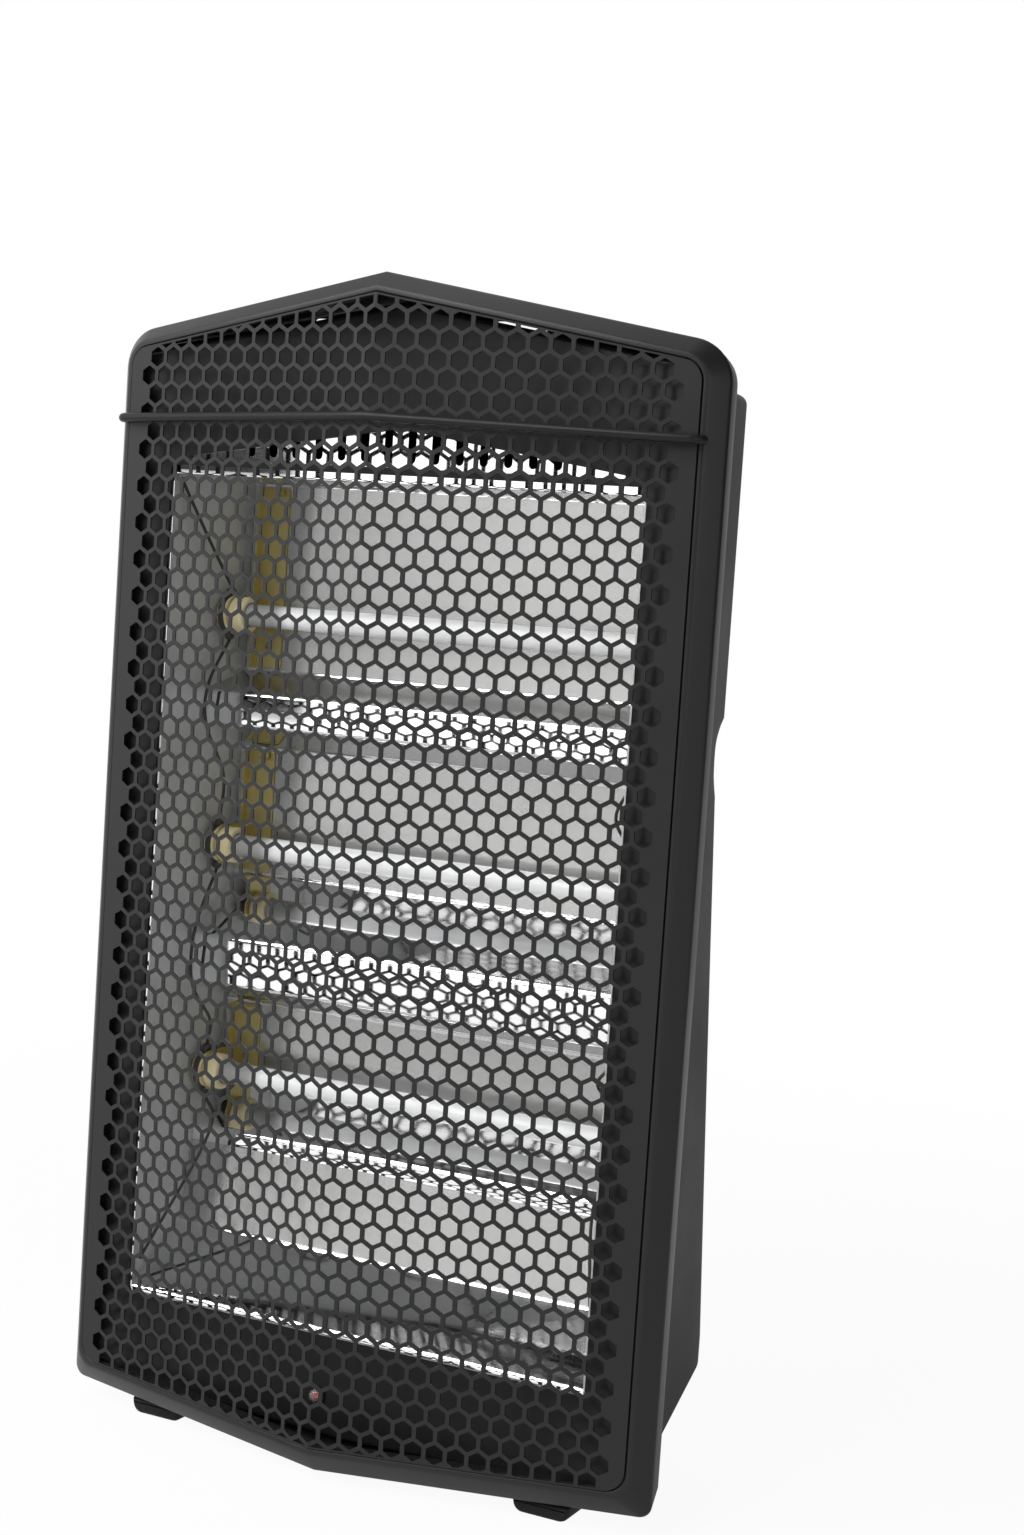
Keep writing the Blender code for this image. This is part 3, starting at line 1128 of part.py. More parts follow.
# Rotary switch and knob
def make_switch(finish, frame):
    """A switch body hung under the roof, whose bush passes through it."""
    top = HOUSING_TOP - HOUSING_WALL - SEAT_GAP
    half = SWITCH_SIZE / 2
    square = []
    for step in range(ROUND_SIDES):
        angle = 2 * math.pi * step / ROUND_SIDES
        reach = half / max(abs(math.cos(angle)), abs(math.sin(angle)))
        square.append((reach * math.cos(angle), reach * math.sin(angle)))
    bush, bore = SWITCH_BUSH_DIAMETER / 2, SHAFT_DIAMETER / 2 + RUNNING_GAP
    bush_top = HOUSING_TOP + SWITCH_BUSH_PROUD
    rings = [[Vector((u, v, top - SWITCH_HEIGHT)) for u, v in square],
             [Vector((u, v, top)) for u, v in square]]
    bore_floor = bush_top - SWITCH_BORE_DEPTH
    for radius, level in ((bush, top), (bush, bush_top), (bore, bush_top), (bore, bore_floor)):
        rings.append([Vector((*point, level)) for point in circle(0, 0, 2 * radius, ROUND_SIDES)])
    mesh = close_mesh("rotary_switch", loft(rings))
    place("rotary_switch", mesh, finish, frame, (KNOB_X, KNOB_DEPTH, 0))


def make_knob(plastic, steel, frame):
    """The knob and its shaft, with their origin on the axis that they turn about."""
    axis = (KNOB_X, KNOB_DEPTH, HOUSING_TOP)
    low = SWITCH_BUSH_PROUD + KNOB_LIFT
    top = low + KNOB_HEIGHT
    bore_top = top - KNOB_BORE_TOP
    bore = SHAFT_DIAMETER / 2 + SEAT_GAP
    skirt, grip = KNOB_SKIRT_DIAMETER / 2, KNOB_DIAMETER / 2

    def ring(radius, level, flute=0.0):
        points = []
        for step in range(KNOB_SIDES):
            angle = 2 * math.pi * step / KNOB_SIDES
            reach = radius - flute * (1 - math.cos(KNOB_FLUTES * angle)) / 2
            points.append(Vector((reach * math.cos(angle), reach * math.sin(angle), level)))
        return points

    skirt_top = low + KNOB_SKIRT_HEIGHT
    rings = [ring(bore, bore_top), ring(bore, low), ring(skirt, low), ring(skirt, skirt_top),
             ring(grip, skirt_top, KNOB_FLUTE_DEPTH), ring(grip, top - KNOB_EDGE, KNOB_FLUTE_DEPTH),
             ring(grip - KNOB_EDGE, top)]
    mesh = close_mesh("control_knob", loft(rings), SOFT_LIMIT_DEGREES)
    knob = place("control_knob", mesh, plastic, frame, axis)
    half_bar = KNOB_BAR_WIDTH / 2
    reach = grip - KNOB_EDGE - KNOB_BAR_MARGIN
    bar_low = (-half_bar, -reach, top - KNOB_EDGE)
    bar = box(bar_low, (half_bar, reach, top + KNOB_BAR_HEIGHT), KNOB_BAR_EDGE)
    cut(knob, place("knob_bar_form", close_mesh("knob_bar", bar), plastic, frame, axis), "UNION")
    shaft = SHAFT_DIAMETER / 2
    shaft_low = SWITCH_BUSH_PROUD - SWITCH_BORE_DEPTH + SHAFT_END_GAP
    profile = [(shaft, shaft_low), (shaft, bore_top - SEAT_GAP)]
    mesh = close_mesh("switch_shaft", turned(profile, ROUND_SIDES, upright), ROUND_LIMIT_DEGREES)
    place("switch_shaft", mesh, steel, frame, axis)


# Tip-over switch
def tip_body_base():
    """Height of the switch body's base, which clears the highest point of the sloped floor."""
    return underside(TIP_DEPTH + TIP_BODY_WIDTH / 2) + HOUSING_WALL + SEAT_GAP


def make_tip_switch(plastic, steel, black, frame):
    """A switch body on the housing's floor with a plunger that the floor of the room holds up."""
    base = tip_body_base()
    centre = Vector((FOOT_CENTRE_X, TIP_DEPTH, 0))
    half = TIP_BODY_WIDTH / 2
    shape = box((-half, -half, base), (half, half, base + TIP_BODY_HEIGHT), TIP_BODY_EDGE)
    body = place("tip_switch", close_mesh("tip_switch", shape), black, frame, centre)
    chamber, entry = TIP_CHAMBER_DIAMETER / 2, TIP_ENTRY / 2
    profile = [(chamber, base - CUT_OVERRUN), (chamber, base + TIP_CHAMBER_DEPTH)]
    hollow = close_mesh("tip_chamber", turned(profile, ROUND_SIDES, upright))
    cut(body, place("tip_chamber_cutter", hollow, black, frame, centre))
    rod, tip = PLUNGER_DIAMETER / 2, PLUNGER_TIP_DIAMETER / 2
    collar_top = base + TIP_CHAMBER_DEPTH - SPRING_HEIGHT - 2 * SEAT_GAP
    collar_low = collar_top - COLLAR_THICKNESS
    collar = chamber - RUNNING_GAP
    guide_top = collar_top + PLUNGER_GUIDE_LENGTH
    levels = [(tip - PLUNGER_TIP_EDGE, 0), (tip, PLUNGER_TIP_EDGE), (tip, PLUNGER_TIP_LENGTH),
              (rod, PLUNGER_TIP_LENGTH + PLUNGER_NECK_SLOPE)]
    above_floor = [(rod, collar_low), (collar, collar_low), (collar, collar_top),
                   (entry / 2, collar_top), (entry / 2, guide_top)]
    levels += [(radius, level - PLUNGER_FLOOR_GAP) for radius, level in above_floor]
    mesh = close_mesh("tip_plunger", turned(levels, ROUND_SIDES, upright), ROUND_LIMIT_DEGREES)
    place("tip_plunger", mesh, plastic, frame, (FOOT_CENTRE_X, TIP_DEPTH, PLUNGER_FLOOR_GAP))
    route = []
    wire = SPRING_WIRE / 2
    spring_low = collar_top + SEAT_GAP + wire
    travel = SPRING_HEIGHT - SPRING_WIRE
    count = SPRING_TURNS * SPRING_POINTS_PER_TURN
    for step in range(count + 1):
        angle = 2 * math.pi * step / SPRING_POINTS_PER_TURN
        radius = SPRING_COIL_DIAMETER / 2
        route.append(Vector((radius * math.cos(angle), radius * math.sin(angle),
                             spring_low + travel * step / count)))
    tube_curve("tip_spring", [route], SPRING_WIRE, steel, frame, centre)
    least_gap = travel / SPRING_TURNS - SPRING_WIRE
    print("least gap between the spring's turns, mm:", round(least_gap / MM, 2))


# Small electrical pieces
def make_lamp(finish, frame):
    """A domed indicator lens that clips through the panel."""
    face = PANEL_DEPTH - SEAT_GAP
    radius, flange = LAMP_DIAMETER / 2, LAMP_FLANGE_DIAMETER / 2
    profile = []
    for step in range(ARC_STEPS):
        turn = math.pi / 2 * (step + 1) / (ARC_STEPS + 1)
        profile.append((radius * math.sin(turn), face - LAMP_FLANGE - LAMP_DOME * math.cos(turn)))
    profile += [(radius, face - LAMP_FLANGE), (flange, face - LAMP_FLANGE), (flange, face),
                (radius, face), (radius, face + LAMP_BODY_LENGTH)]
    mesh = close_mesh("indicator_lamp", turned(profile, SMALL_SIDES, rearward), SOFT_LIMIT_DEGREES)
    place("indicator_lamp", mesh, finish, frame, (LAMP_X, 0, LAMP_HEIGHT))


def make_cutout(finish, frame):
    """A thermal cut-out disc on the back of the reflector's top trough, between two lugs."""
    seat = TROUGH_DEPTH + REFLECTOR_THICKNESS + SEAT_GAP
    radius = CUTOUT_DIAMETER / 2
    profile = [(radius + CUTOUT_LUG, seat), (radius + CUTOUT_LUG, seat + BRACKET_THICKNESS),
               (radius, seat + BRACKET_THICKNESS), (radius, seat + CUTOUT_HEIGHT - BRACKET_THICKNESS),
               (radius - BRACKET_THICKNESS, seat + CUTOUT_HEIGHT)]

    def oval(u, v, along):
        flat = v if abs(v) <= radius or along > seat + BRACKET_THICKNESS else math.copysign(radius, v)
        return Vector((u, along, flat))

    mesh = close_mesh("thermal_cutout", turned(profile, SMALL_SIDES, oval), SOFT_LIMIT_DEGREES)
    place("thermal_cutout", mesh, finish, frame, (CUTOUT_X, 0, CUTOUT_PLACE_HEIGHT))


def make_gland(finish, frame):
    """A flanged bush in the back wall, through which a mains cord would enter."""
    wall = housing_depth(GLAND_HEIGHT)
    lean = (LOWER_BOTTOM_DEPTH - LOWER_TOP_DEPTH) / (WAIST_BOTTOM - LOWER_BOTTOM_HEIGHT)
    seat = wall + SEAT_GAP + lean * GLAND_FLANGE_DIAMETER / 2
    radius, flange, bore = GLAND_DIAMETER / 2, GLAND_FLANGE_DIAMETER / 2, GLAND_BORE / 2
    end = min(seat + GLAND_FLANGE, LOWER_BOTTOM_DEPTH)
    inner = wall - HOUSING_WALL - GLAND_INNER
    profile = [(radius, inner), (radius, seat), (flange, seat), (flange, end), (bore, end),
               (bore, inner)]
    bush = turned(profile, ROUND_SIDES, rearward, closed=True)
    mesh = close_mesh("cord_gland", bush, SOFT_LIMIT_DEGREES)
    place("cord_gland", mesh, finish, frame, (GLAND_X, 0, GLAND_HEIGHT))


def make_terminal_block(finish, frame):
    """A stepped terminal block on the inside of the leaning back wall."""
    low, high = BLOCK_PLACE_HEIGHT - BLOCK_HEIGHT / 2, BLOCK_PLACE_HEIGHT + BLOCK_HEIGHT / 2
    half = BLOCK_WIDTH / 2

    def wall(level):
        return housing_depth(level) - HOUSING_WALL - SEAT_GAP

    face = wall(low) - BLOCK_THICKNESS
    step = face + BLOCK_STEP
    outline = [(wall(low), low), (step, low), (step, low + BLOCK_STEP), (face, low + BLOCK_STEP),
               (face, high - BLOCK_STEP), (step, high - BLOCK_STEP), (step, high), (wall(high), high)]
    rings = [[Vector((side * half, depth, level)) for depth, level in outline] for side in (-1, 1)]
    place("terminal_block", close_mesh("terminal_block", loft(rings)), finish, frame, (BLOCK_X, 0, 0))


def build():
    clear_scene()
    frame = bpy.data.objects.new("heater_frame", None)
    frame.location = (0, -MID_DEPTH, 0)
    bpy.context.scene.collection.objects.link(frame)
    black = material("black_moulding", (0.028, 0.029, 0.030), 0.45)
    painted = material("black_painted_steel", (0.020, 0.021, 0.022), 0.40, 0.3)
    polished = material("polished_aluminium", (0.86, 0.87, 0.88), 0.08, 1.0)
    gold = material("yellow_passivated_steel", (0.52, 0.38, 0.12), 0.35, 0.9)
    steel = material("zinc_plated_steel", (0.62, 0.63, 0.64), 0.30, 1.0)
    glass = material("frosted_quartz", (0.90, 0.91, 0.92), 0.55)
    wound = material("resistance_wire", (0.30, 0.29, 0.28), 0.50, 0.9)
    ceramic = material("cream_ceramic", (0.78, 0.66, 0.38), 0.60)
    lead = material("dark_lead", (0.05, 0.05, 0.05), 0.50)
    lens = material("red_lens", (0.75, 0.05, 0.04), 0.12)
    make_bezel(black, frame)
    make_grille(painted, frame)
    make_guard_rod(painted, frame)
    make_panel(painted, frame)
    make_reflector(polished, frame)
    for side in (-1, 1):
        make_end_wall(side, polished, frame)
        make_wires(side, lead, frame)
        make_foot(side, black, frame)
    for index in range(ELEMENT_COUNT):
        make_element(index, glass, wound, ceramic, frame)
        for side in (-1, 1):
            make_bracket(index, side, gold, frame)
    make_housing(black, frame)
    make_screws(steel, frame)
    make_handle(black, frame)
    make_switch(black, frame)
    make_knob(black, steel, frame)
    make_tip_switch(black, steel, black, frame)
    make_lamp(lens, frame)
    make_cutout(steel, frame)
    make_gland(black, frame)
    make_terminal_block(black, frame)


build()
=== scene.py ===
"""Looks of the quartz radiant heater: its fine guard, frame, reflector, elements and finishes,
on a pale floor in soft studio light."""

import math

import bmesh
import bpy
from mathutils import Matrix, Vector
from mathutils.geometry import delaunay_2d_cdt


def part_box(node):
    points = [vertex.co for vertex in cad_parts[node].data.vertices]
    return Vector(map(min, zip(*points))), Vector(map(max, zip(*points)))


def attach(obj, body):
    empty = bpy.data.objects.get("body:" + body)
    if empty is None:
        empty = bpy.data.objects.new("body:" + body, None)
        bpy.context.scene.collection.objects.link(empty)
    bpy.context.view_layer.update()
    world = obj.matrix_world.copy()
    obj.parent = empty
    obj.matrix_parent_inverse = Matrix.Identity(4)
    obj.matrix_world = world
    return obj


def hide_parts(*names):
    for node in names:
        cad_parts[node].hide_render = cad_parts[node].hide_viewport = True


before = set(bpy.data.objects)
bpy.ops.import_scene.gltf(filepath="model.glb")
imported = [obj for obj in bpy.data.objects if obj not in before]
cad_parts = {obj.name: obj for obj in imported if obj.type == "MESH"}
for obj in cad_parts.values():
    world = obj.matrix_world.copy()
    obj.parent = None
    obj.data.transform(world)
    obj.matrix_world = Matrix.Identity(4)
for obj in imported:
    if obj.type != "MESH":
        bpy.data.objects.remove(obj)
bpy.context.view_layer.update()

# Lengths are in mm. Only the camera, the lights, the floor and the finishes use metres.
# Depths are measured back from the guard's fold.
MM = 0.001
REAR_DEPTH = 151.0
FOLD_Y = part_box("rear_housing")[1].y - REAR_DEPTH * MM
PEAK_HEIGHT = 594.0
HALF_WIDTH = 169.0
KEEL_HEIGHT = 5.3
GABLE_ANGLE = math.radians(9.7)
KEEL_ANGLE = math.radians(2.0)
PROW_ANGLE = math.radians(9.9)
TOP_CORNER_RADIUS = 21.0
LEAST_CORNER_RADIUS = 2.5
BOTTOM_CORNER_RADIUS = 6.0
BOTTOM_OPENING_RADIUS = 10.5
RIM_WIDTH = 10.1
RIM_EXTRA = 3.2
FRAME_BACK = 54.0
FRAME_DRAFT = 3.5
PANEL_DEPTH = 31.14
TROUGH_DEPTH = 104.0
SIDES = ((-1, "left"), (1, "right"))


def at(x, depth, height):
    """A point of the shared frame, in metres."""
    return Vector((x * MM, FOLD_Y + depth * MM, height * MM))


def prow(x):
    """Depth of the guard's front face at a distance x from the fold."""
    return abs(x) * math.tan(PROW_ANGLE)


def add_object(name, data):
    made = bpy.data.objects.new(name, data)
    bpy.context.scene.collection.objects.link(made)
    return made


# Camera
def make_camera():
    """The camera stands low at the front right and looks slightly down across the guard."""
    lens = bpy.data.cameras.new("camera")
    lens.sensor_fit = "VERTICAL"
    lens.sensor_height = 24.0
    lens.lens = 38.064
    lens.clip_start = 0.05
    camera = add_object("camera", lens)
    right = Vector((0.88866649, 0.45390426, 0.06513667))
    down = Vector((0.09578782, -0.04483783, -0.9943914))
    ahead = Vector((-0.44843791, 0.88992162, -0.08332438))
    turn = Matrix((right, -down, -ahead)).transposed().to_4x4()
    camera.matrix_world = Matrix.Translation((0.5960, FOLD_Y - 1.0069, 0.4594)) @ turn
    bpy.context.scene.camera = camera


# Shader nodes
def feed(tree, node, inputs):
    """Give a node's inputs either plain values or other nodes' sockets."""
    for label, value in inputs.items():
        if isinstance(value, bpy.types.NodeSocket):
            tree.links.new(value, node.inputs[label])
        else:
            node.inputs[label].default_value = value


def add_node(tree, kind, inputs, **settings):
    made = tree.nodes.new("ShaderNode" + kind)
    for label, value in settings.items():
        setattr(made, label, value)
    feed(tree, made, inputs)
    return made


def clamped(tree, operation, first, second):
    """The sum or product of two sockets or values, kept between 0 and 1."""
    return add_node(tree, "Math", {0: first, 1: second}, operation=operation,
                    use_clamp=True).outputs["Value"]


def new_finish(name):
    """A material, its node tree and its main shader."""
    made = bpy.data.materials.new(name)
    made.use_nodes = True
    return made, made.node_tree, made.node_tree.nodes["Principled BSDF"]


def background_rays(tree, where_mirrored):
    """1 for camera rays, and a given share for rays that left a mirror or passed through glass."""
    path = add_node(tree, "LightPath", {})
    indirect = clamped(tree, "ADD", path.outputs["Is Glossy Ray"], path.outputs["Is Transmission Ray"])
    share = clamped(tree, "MULTIPLY", indirect, where_mirrored)
    return clamped(tree, "ADD", path.outputs["Is Camera Ray"], share)


def mix_surface(tree, share, first, second, out):
    """Mix two shaders by a share and send them to an output."""
    mix = add_node(tree, "MixShader", {"Fac": share, 1: first.outputs[0], 2: second.outputs[0]})
    tree.links.new(mix.outputs["Shader"], out.inputs["Surface"])


# Light and floor
WORLD_STOPS = ((0.30, 0.40), (0.46, 0.05), (0.90, 0.05), (1.00, 2.20))
BRIGHT_SIDE = (0.86, -0.50, 0.0)
FLOOR_REACH = 6.0


def soft_box(name, place, aim_height, width, height, power):
    """A rectangular light that faces the heater's upright axis at a height."""
    data = bpy.data.lights.new(name, "AREA")
    data.shape = "RECTANGLE"
    data.size = width
    data.size_y = height
    data.energy = power
    lamp = add_object(name, data)
    lamp.location = place
    lamp.rotation_mode = "QUATERNION"
    aim = Vector((0, 0, aim_height)) - lamp.location
    lamp.rotation_quaternion = aim.to_track_quat("-Z", "Y")


def make_studio():
    """Soft light from the left, a little from the front, and a dark side on the right."""
    bpy.context.scene.view_settings.view_transform = "Standard"
    soft_box("left_light", (-2.00, -1.30, 1.00), 0.30, 1.2, 2.0, 10)
    soft_box("front_light", (-0.93, -2.20, 0.84), 0.84, 0.85, 1.6, 6.5)
    soft_box("high_light", (-1.05, -2.05, 2.05), 0.30, 2.2, 2.2, 105)
    soft_box("top_light", (-0.30, 0.10, 2.30), 0.30, 1.4, 1.4, 6)
    world = bpy.data.worlds.new("studio")
    bpy.context.scene.world = world
    world.use_nodes = True
    tree = world.node_tree
    tree.nodes.clear()
    seen = add_node(tree, "Background", {"Color": (1, 1, 1, 1)})
    where = add_node(tree, "TexCoord", {})
    side = add_node(tree, "VectorMath", {0: where.outputs["Generated"], 1: BRIGHT_SIDE},
                    operation="DOT_PRODUCT")
    spread = add_node(tree, "MapRange", {"Value": side.outputs["Value"], "From Min": -1.0})
    dim = add_node(tree, "ValToRGB", {"Fac": spread.outputs["Result"]})
    ramp = dim.color_ramp.elements
    for index, (position, level) in enumerate(WORLD_STOPS):
        if index == len(ramp):
            ramp.new(position)
        ramp[index].position = position
        ramp[index].color = (level, level, level, 1)
    around = add_node(tree, "Background", {"Color": dim.outputs["Color"]})
    bright = add_node(tree, "MapRange", {"Value": spread.outputs["Result"], "From Min": 0.34,
                                         "From Max": 0.22})
    mix_surface(tree, background_rays(tree, bright.outputs["Result"]), around, seen,
                add_node(tree, "OutputWorld", {}))


def make_floor():
    """A floor that looks white, and that keeps a faint shadow of the heater near its feet."""
    mesh = bpy.data.meshes.new("floor")
    corners = ((-1, -1), (1, -1), (1, 1), (-1, 1))
    mesh.from_pydata([(x * FLOOR_REACH, y * FLOOR_REACH, 0) for x, y in corners], [], [(0, 1, 2, 3)])
    finish, tree, matte = new_finish("floor_white")
    feed(tree, matte, {"Base Color": (0.80, 0.80, 0.80, 1), "Roughness": 0.9})
    glow = add_node(tree, "Emission", {"Color": (1, 1, 1, 1)})
    where = add_node(tree, "TexCoord", {})
    away = add_node(tree, "VectorMath", {0: where.outputs["Object"]}, operation="LENGTH")
    fade = add_node(tree, "MapRange", {"Value": away.outputs["Value"], "From Min": 0.35,
                                       "From Max": 1.30, "To Min": 0.94},
                    interpolation_type="SMOOTHSTEP")
    share = clamped(tree, "MULTIPLY", background_rays(tree, 0.5), fade.outputs["Result"])
    mix_surface(tree, share, matte, glow, tree.nodes["Material Output"])
    floor = add_object("floor", mesh)
    floor.data.materials.append(finish)


# Shared surface effects
def make_effect(name, detail, squeeze):
    """A group whose colour and roughness wander with its first noise, which squeeze draws out
    along X, and which also gives the heights of that noise and of a second one."""
    group = bpy.data.node_groups.new(name, "ShaderNodeTree")
    for label, kind, value in (("Colour", "Color", (0.05, 0.05, 0.05, 1)),
                               ("Second Colour", "Color", (0.07, 0.07, 0.07, 1)),
                               ("Low Roughness", "Float", 0.35), ("High Roughness", "Float", 0.5),
                               ("First Scale", "Float", 14.0), ("Second Scale", "Float", 1200.0)):
        socket = group.interface.new_socket(label, in_out="INPUT", socket_type="NodeSocket" + kind)
        socket.default_value = value
    for label, kind in (("Colour", "Color"), ("Roughness", "Float"), ("First Height", "Float"),
                        ("Second Height", "Float")):
        group.interface.new_socket(label, in_out="OUTPUT", socket_type="NodeSocket" + kind)
    sent = group.nodes.new("NodeGroupInput").outputs
    got = group.nodes.new("NodeGroupOutput")
    where = add_node(group, "TexCoord", {}).outputs["Object"]
    drawn = add_node(group, "Mapping", {"Vector": where, "Scale": (squeeze, 1.0, 1.0)})
    first = add_node(group, "TexNoise", {"Vector": drawn.outputs["Vector"], "Detail": detail,
                                         "Scale": sent["First Scale"]}).outputs["Fac"]
    second = add_node(group, "TexNoise", {"Vector": where, "Detail": 1.0,
                                          "Scale": sent["Second Scale"]}).outputs["Fac"]
    tint = add_node(group, "Mix", {"Factor": first, "A": sent["Colour"], "B": sent["Second Colour"]},
                    data_type="RGBA")
    wander = add_node(group, "MapRange", {"Value": first, "From Min": 0.3, "From Max": 0.7,
                                          "To Min": sent["Low Roughness"],
                                          "To Max": sent["High Roughness"]})
    feed(group, got, {"Colour": tint.outputs["Result"], "Roughness": wander.outputs["Result"],
                      "First Height": first, "Second Height": second})
    return group


SPECKLE = make_effect("speckle", 3.0, 1.0)
ROLLED = make_effect("rolled_sheet", 2.0, 0.02)


def dressed(name, group, colour, second, rough, scales, bumps, plain):
    """A material with a group's colour, roughness and relief. bumps has the heights of the group's
    two noises in metres, and plain has values for the shader's own inputs."""
    made, tree, shader = new_finish(name)
    effect = tree.nodes.new("ShaderNodeGroup")
    effect.node_tree = group
    feed(tree, effect, {"Colour": (*colour, 1), "Second Colour": (*second, 1),
                        "Low Roughness": rough[0], "High Roughness": rough[1],
                        "First Scale": scales[0], "Second Scale": scales[1]})
    normal = {}
    for label, height in zip(("First Height", "Second Height"), bumps):
        if height:
            relief = add_node(tree, "Bump", {"Distance": height, "Height": effect.outputs[label],
                                             **normal})
            normal = {"Normal": relief.outputs["Normal"]}
    feed(tree, shader, {"Base Color": effect.outputs["Colour"],
                        "Roughness": effect.outputs["Roughness"], **normal})
    feed(tree, shader, {label.replace("_", " "): value for label, value in plain.items()})
    return made


def speckled(name, colour, second, rough, patch, grain, bump, **plain):
    """A finish with wandering colour and roughness and a fine grain."""
    return dressed(name, SPECKLE, colour, second, rough, (patch, grain), (0, bump), plain)


def rolled(name, colour, second, rough, line_bump, wave_bump, lines=700.0, **plain):
    """Sheet metal with fine rolling lines along X and a slow waviness."""
    return dressed(name, ROLLED, colour, second, rough, (lines, 16.0), (line_bump, wave_bump), plain)


def frosted_quartz():
    """Frosted glass that is white along its length, with painted shade that greys it towards its left
    end.
    """
    made = speckled("frosted_quartz", (0.94, 0.945, 0.95), (0.9024, 0.9072, 0.912), (0.30, 0.42),
                    25.0, 1200.0, 0.00001, Coat_Weight=0.3)
    tree = made.node_tree
    shader = tree.nodes["Principled BSDF"]
    # Painted shade: the base colour is mixed to grey towards the tube's left end, where X falls below
    # -0.086 m.
    where = add_node(tree, "TexCoord", {})
    split = add_node(tree, "SeparateXYZ", {"Vector": where.outputs["Object"]})
    share = add_node(tree, "MapRange", {"Value": split.outputs["X"], "From Min": -0.086,
                                        "From Max": -0.098}, interpolation_type="SMOOTHSTEP")
    tint = add_node(tree, "Mix", {"Factor": share.outputs["Result"], "B": (0.34, 0.34, 0.335, 1),
                                  "A": shader.inputs["Base Color"].links[0].from_socket},
                    data_type="RGBA")
    feed(tree, shader, {"Base Color": tint.outputs["Result"]})
    return made


MOULDING = speckled("black_moulding", (0.0105, 0.0107, 0.0107), (0.0132, 0.0134, 0.0134),
                    (0.42, 0.52), 11.0, 1500.0, 0.00004, Specular_IOR_Level=0.10)
FRAME_MOULDING = speckled("black_frame_moulding", (0.0110, 0.0112, 0.0112), (0.0138, 0.0140, 0.0140),
                          (0.34, 0.44), 9.0, 1700.0, 0.00003, Specular_IOR_Level=0.26)
PAINT = speckled("black_panel_paint", (0.0110, 0.0112, 0.0112), (0.0140, 0.0143, 0.0143),
                 (0.28, 0.35), 13.0, 700.0, 0.00002, Specular_IOR_Level=0.16)
GUARD_PAINT = speckled("black_guard_paint", (0.0130, 0.0133, 0.0133), (0.0160, 0.0163, 0.0163),
                       (0.34, 0.42), 16.0, 900.0, 0.00002, Specular_IOR_Level=0.23)
ROD_PAINT = speckled("black_rod_paint", (0.0110, 0.0112, 0.0112), (0.0140, 0.0142, 0.0142),
                     (0.26, 0.34), 30.0, 900.0, 0.00002, Specular_IOR_Level=0.14)
MIRROR = rolled("polished_aluminium", (0.90, 0.90, 0.90), (0.84, 0.84, 0.85), (0.03, 0.07),
                0.0000010, 0.00006, Metallic=1.0)
SATIN = rolled("satin_aluminium", (0.57, 0.57, 0.56), (0.55, 0.55, 0.545), (0.22, 0.23),
               0.0000001, 0.000005, lines=160.0, Metallic=0.96)
DULL = rolled("dull_aluminium", (0.60, 0.61, 0.60), (0.54, 0.56, 0.55), (0.48, 0.56),
              0.0000030, 0.00004, Metallic=0.55)
GOLD = speckled("yellow_passivated_steel", (0.58, 0.48, 0.19), (0.40, 0.34, 0.14), (0.30, 0.44),
                60.0, 900.0, 0.00001, Metallic=0.70)
ZINC = speckled("zinc_plated_steel", (0.62, 0.63, 0.64), (0.50, 0.51, 0.53), (0.25, 0.40),
                120.0, 1500.0, 0.00001, Metallic=1.0)
QUARTZ = frosted_quartz()
CERAMIC = speckled("cream_ceramic", (0.80, 0.70, 0.43), (0.66, 0.58, 0.35), (0.55, 0.70),
                   180.0, 1400.0, 0.00004)
COIL = speckled("resistance_wire", (0.30, 0.28, 0.26), (0.20, 0.19, 0.18), (0.40, 0.55),
                90.0, 900.0, 0.00002, Metallic=0.9)
LEAD = speckled("dark_sleeving", (0.022, 0.021, 0.020), (0.040, 0.037, 0.033), (0.55, 0.70),
                300.0, 1500.0, 0.00008)
CLIP = speckled("dark_spring_steel", (0.060, 0.058, 0.055), (0.100, 0.096, 0.090), (0.28, 0.42),
                200.0, 1500.0, 0.00002, Metallic=0.7)
LENS = speckled("clear_lens", (0.90, 0.90, 0.90), (0.86, 0.86, 0.86), (0.03, 0.06),
                60.0, 400.0, 0.00001, Transmission_Weight=0.90, IOR=1.45)
RED = speckled("red_lens", (0.72, 0.020, 0.020), (0.58, 0.014, 0.014), (0.20, 0.30),
               60.0, 400.0, 0.00002)
DIAL_WHITE = speckled("dial_white", (0.62, 0.62, 0.61), (0.54, 0.54, 0.53), (0.45, 0.55),
                      90.0, 1500.0, 0.00001)

# Finishes of the CAD nodes by the start of their names. The rest are moulded.
NODE_FINISHES = (("cap_bracket", GOLD), ("ceramic_cap", CERAMIC), ("quartz_tube", QUARTZ),
                 ("heating_coil", COIL), ("element_wire", LEAD), ("reflector_end", DULL),
                 ("reflector", MIRROR), ("foot_screw", ZINC), ("flange_screw", ZINC),
                 ("front_bezel", FRAME_MOULDING), ("hex_grille", GUARD_PAINT),
                 ("guard_rod", ROD_PAINT), ("front_panel", PAINT), ("switch_shaft", ZINC),
                 ("tip_spring", ZINC), ("thermal_cutout", ZINC), ("indicator_lamp", RED))


def dress_nodes():
    for name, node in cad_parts.items():
        found = [finish for start, finish in NODE_FINISHES if name.startswith(start)]
        node.data.materials.clear()
        node.data.materials.append(found[0] if found else MOULDING)


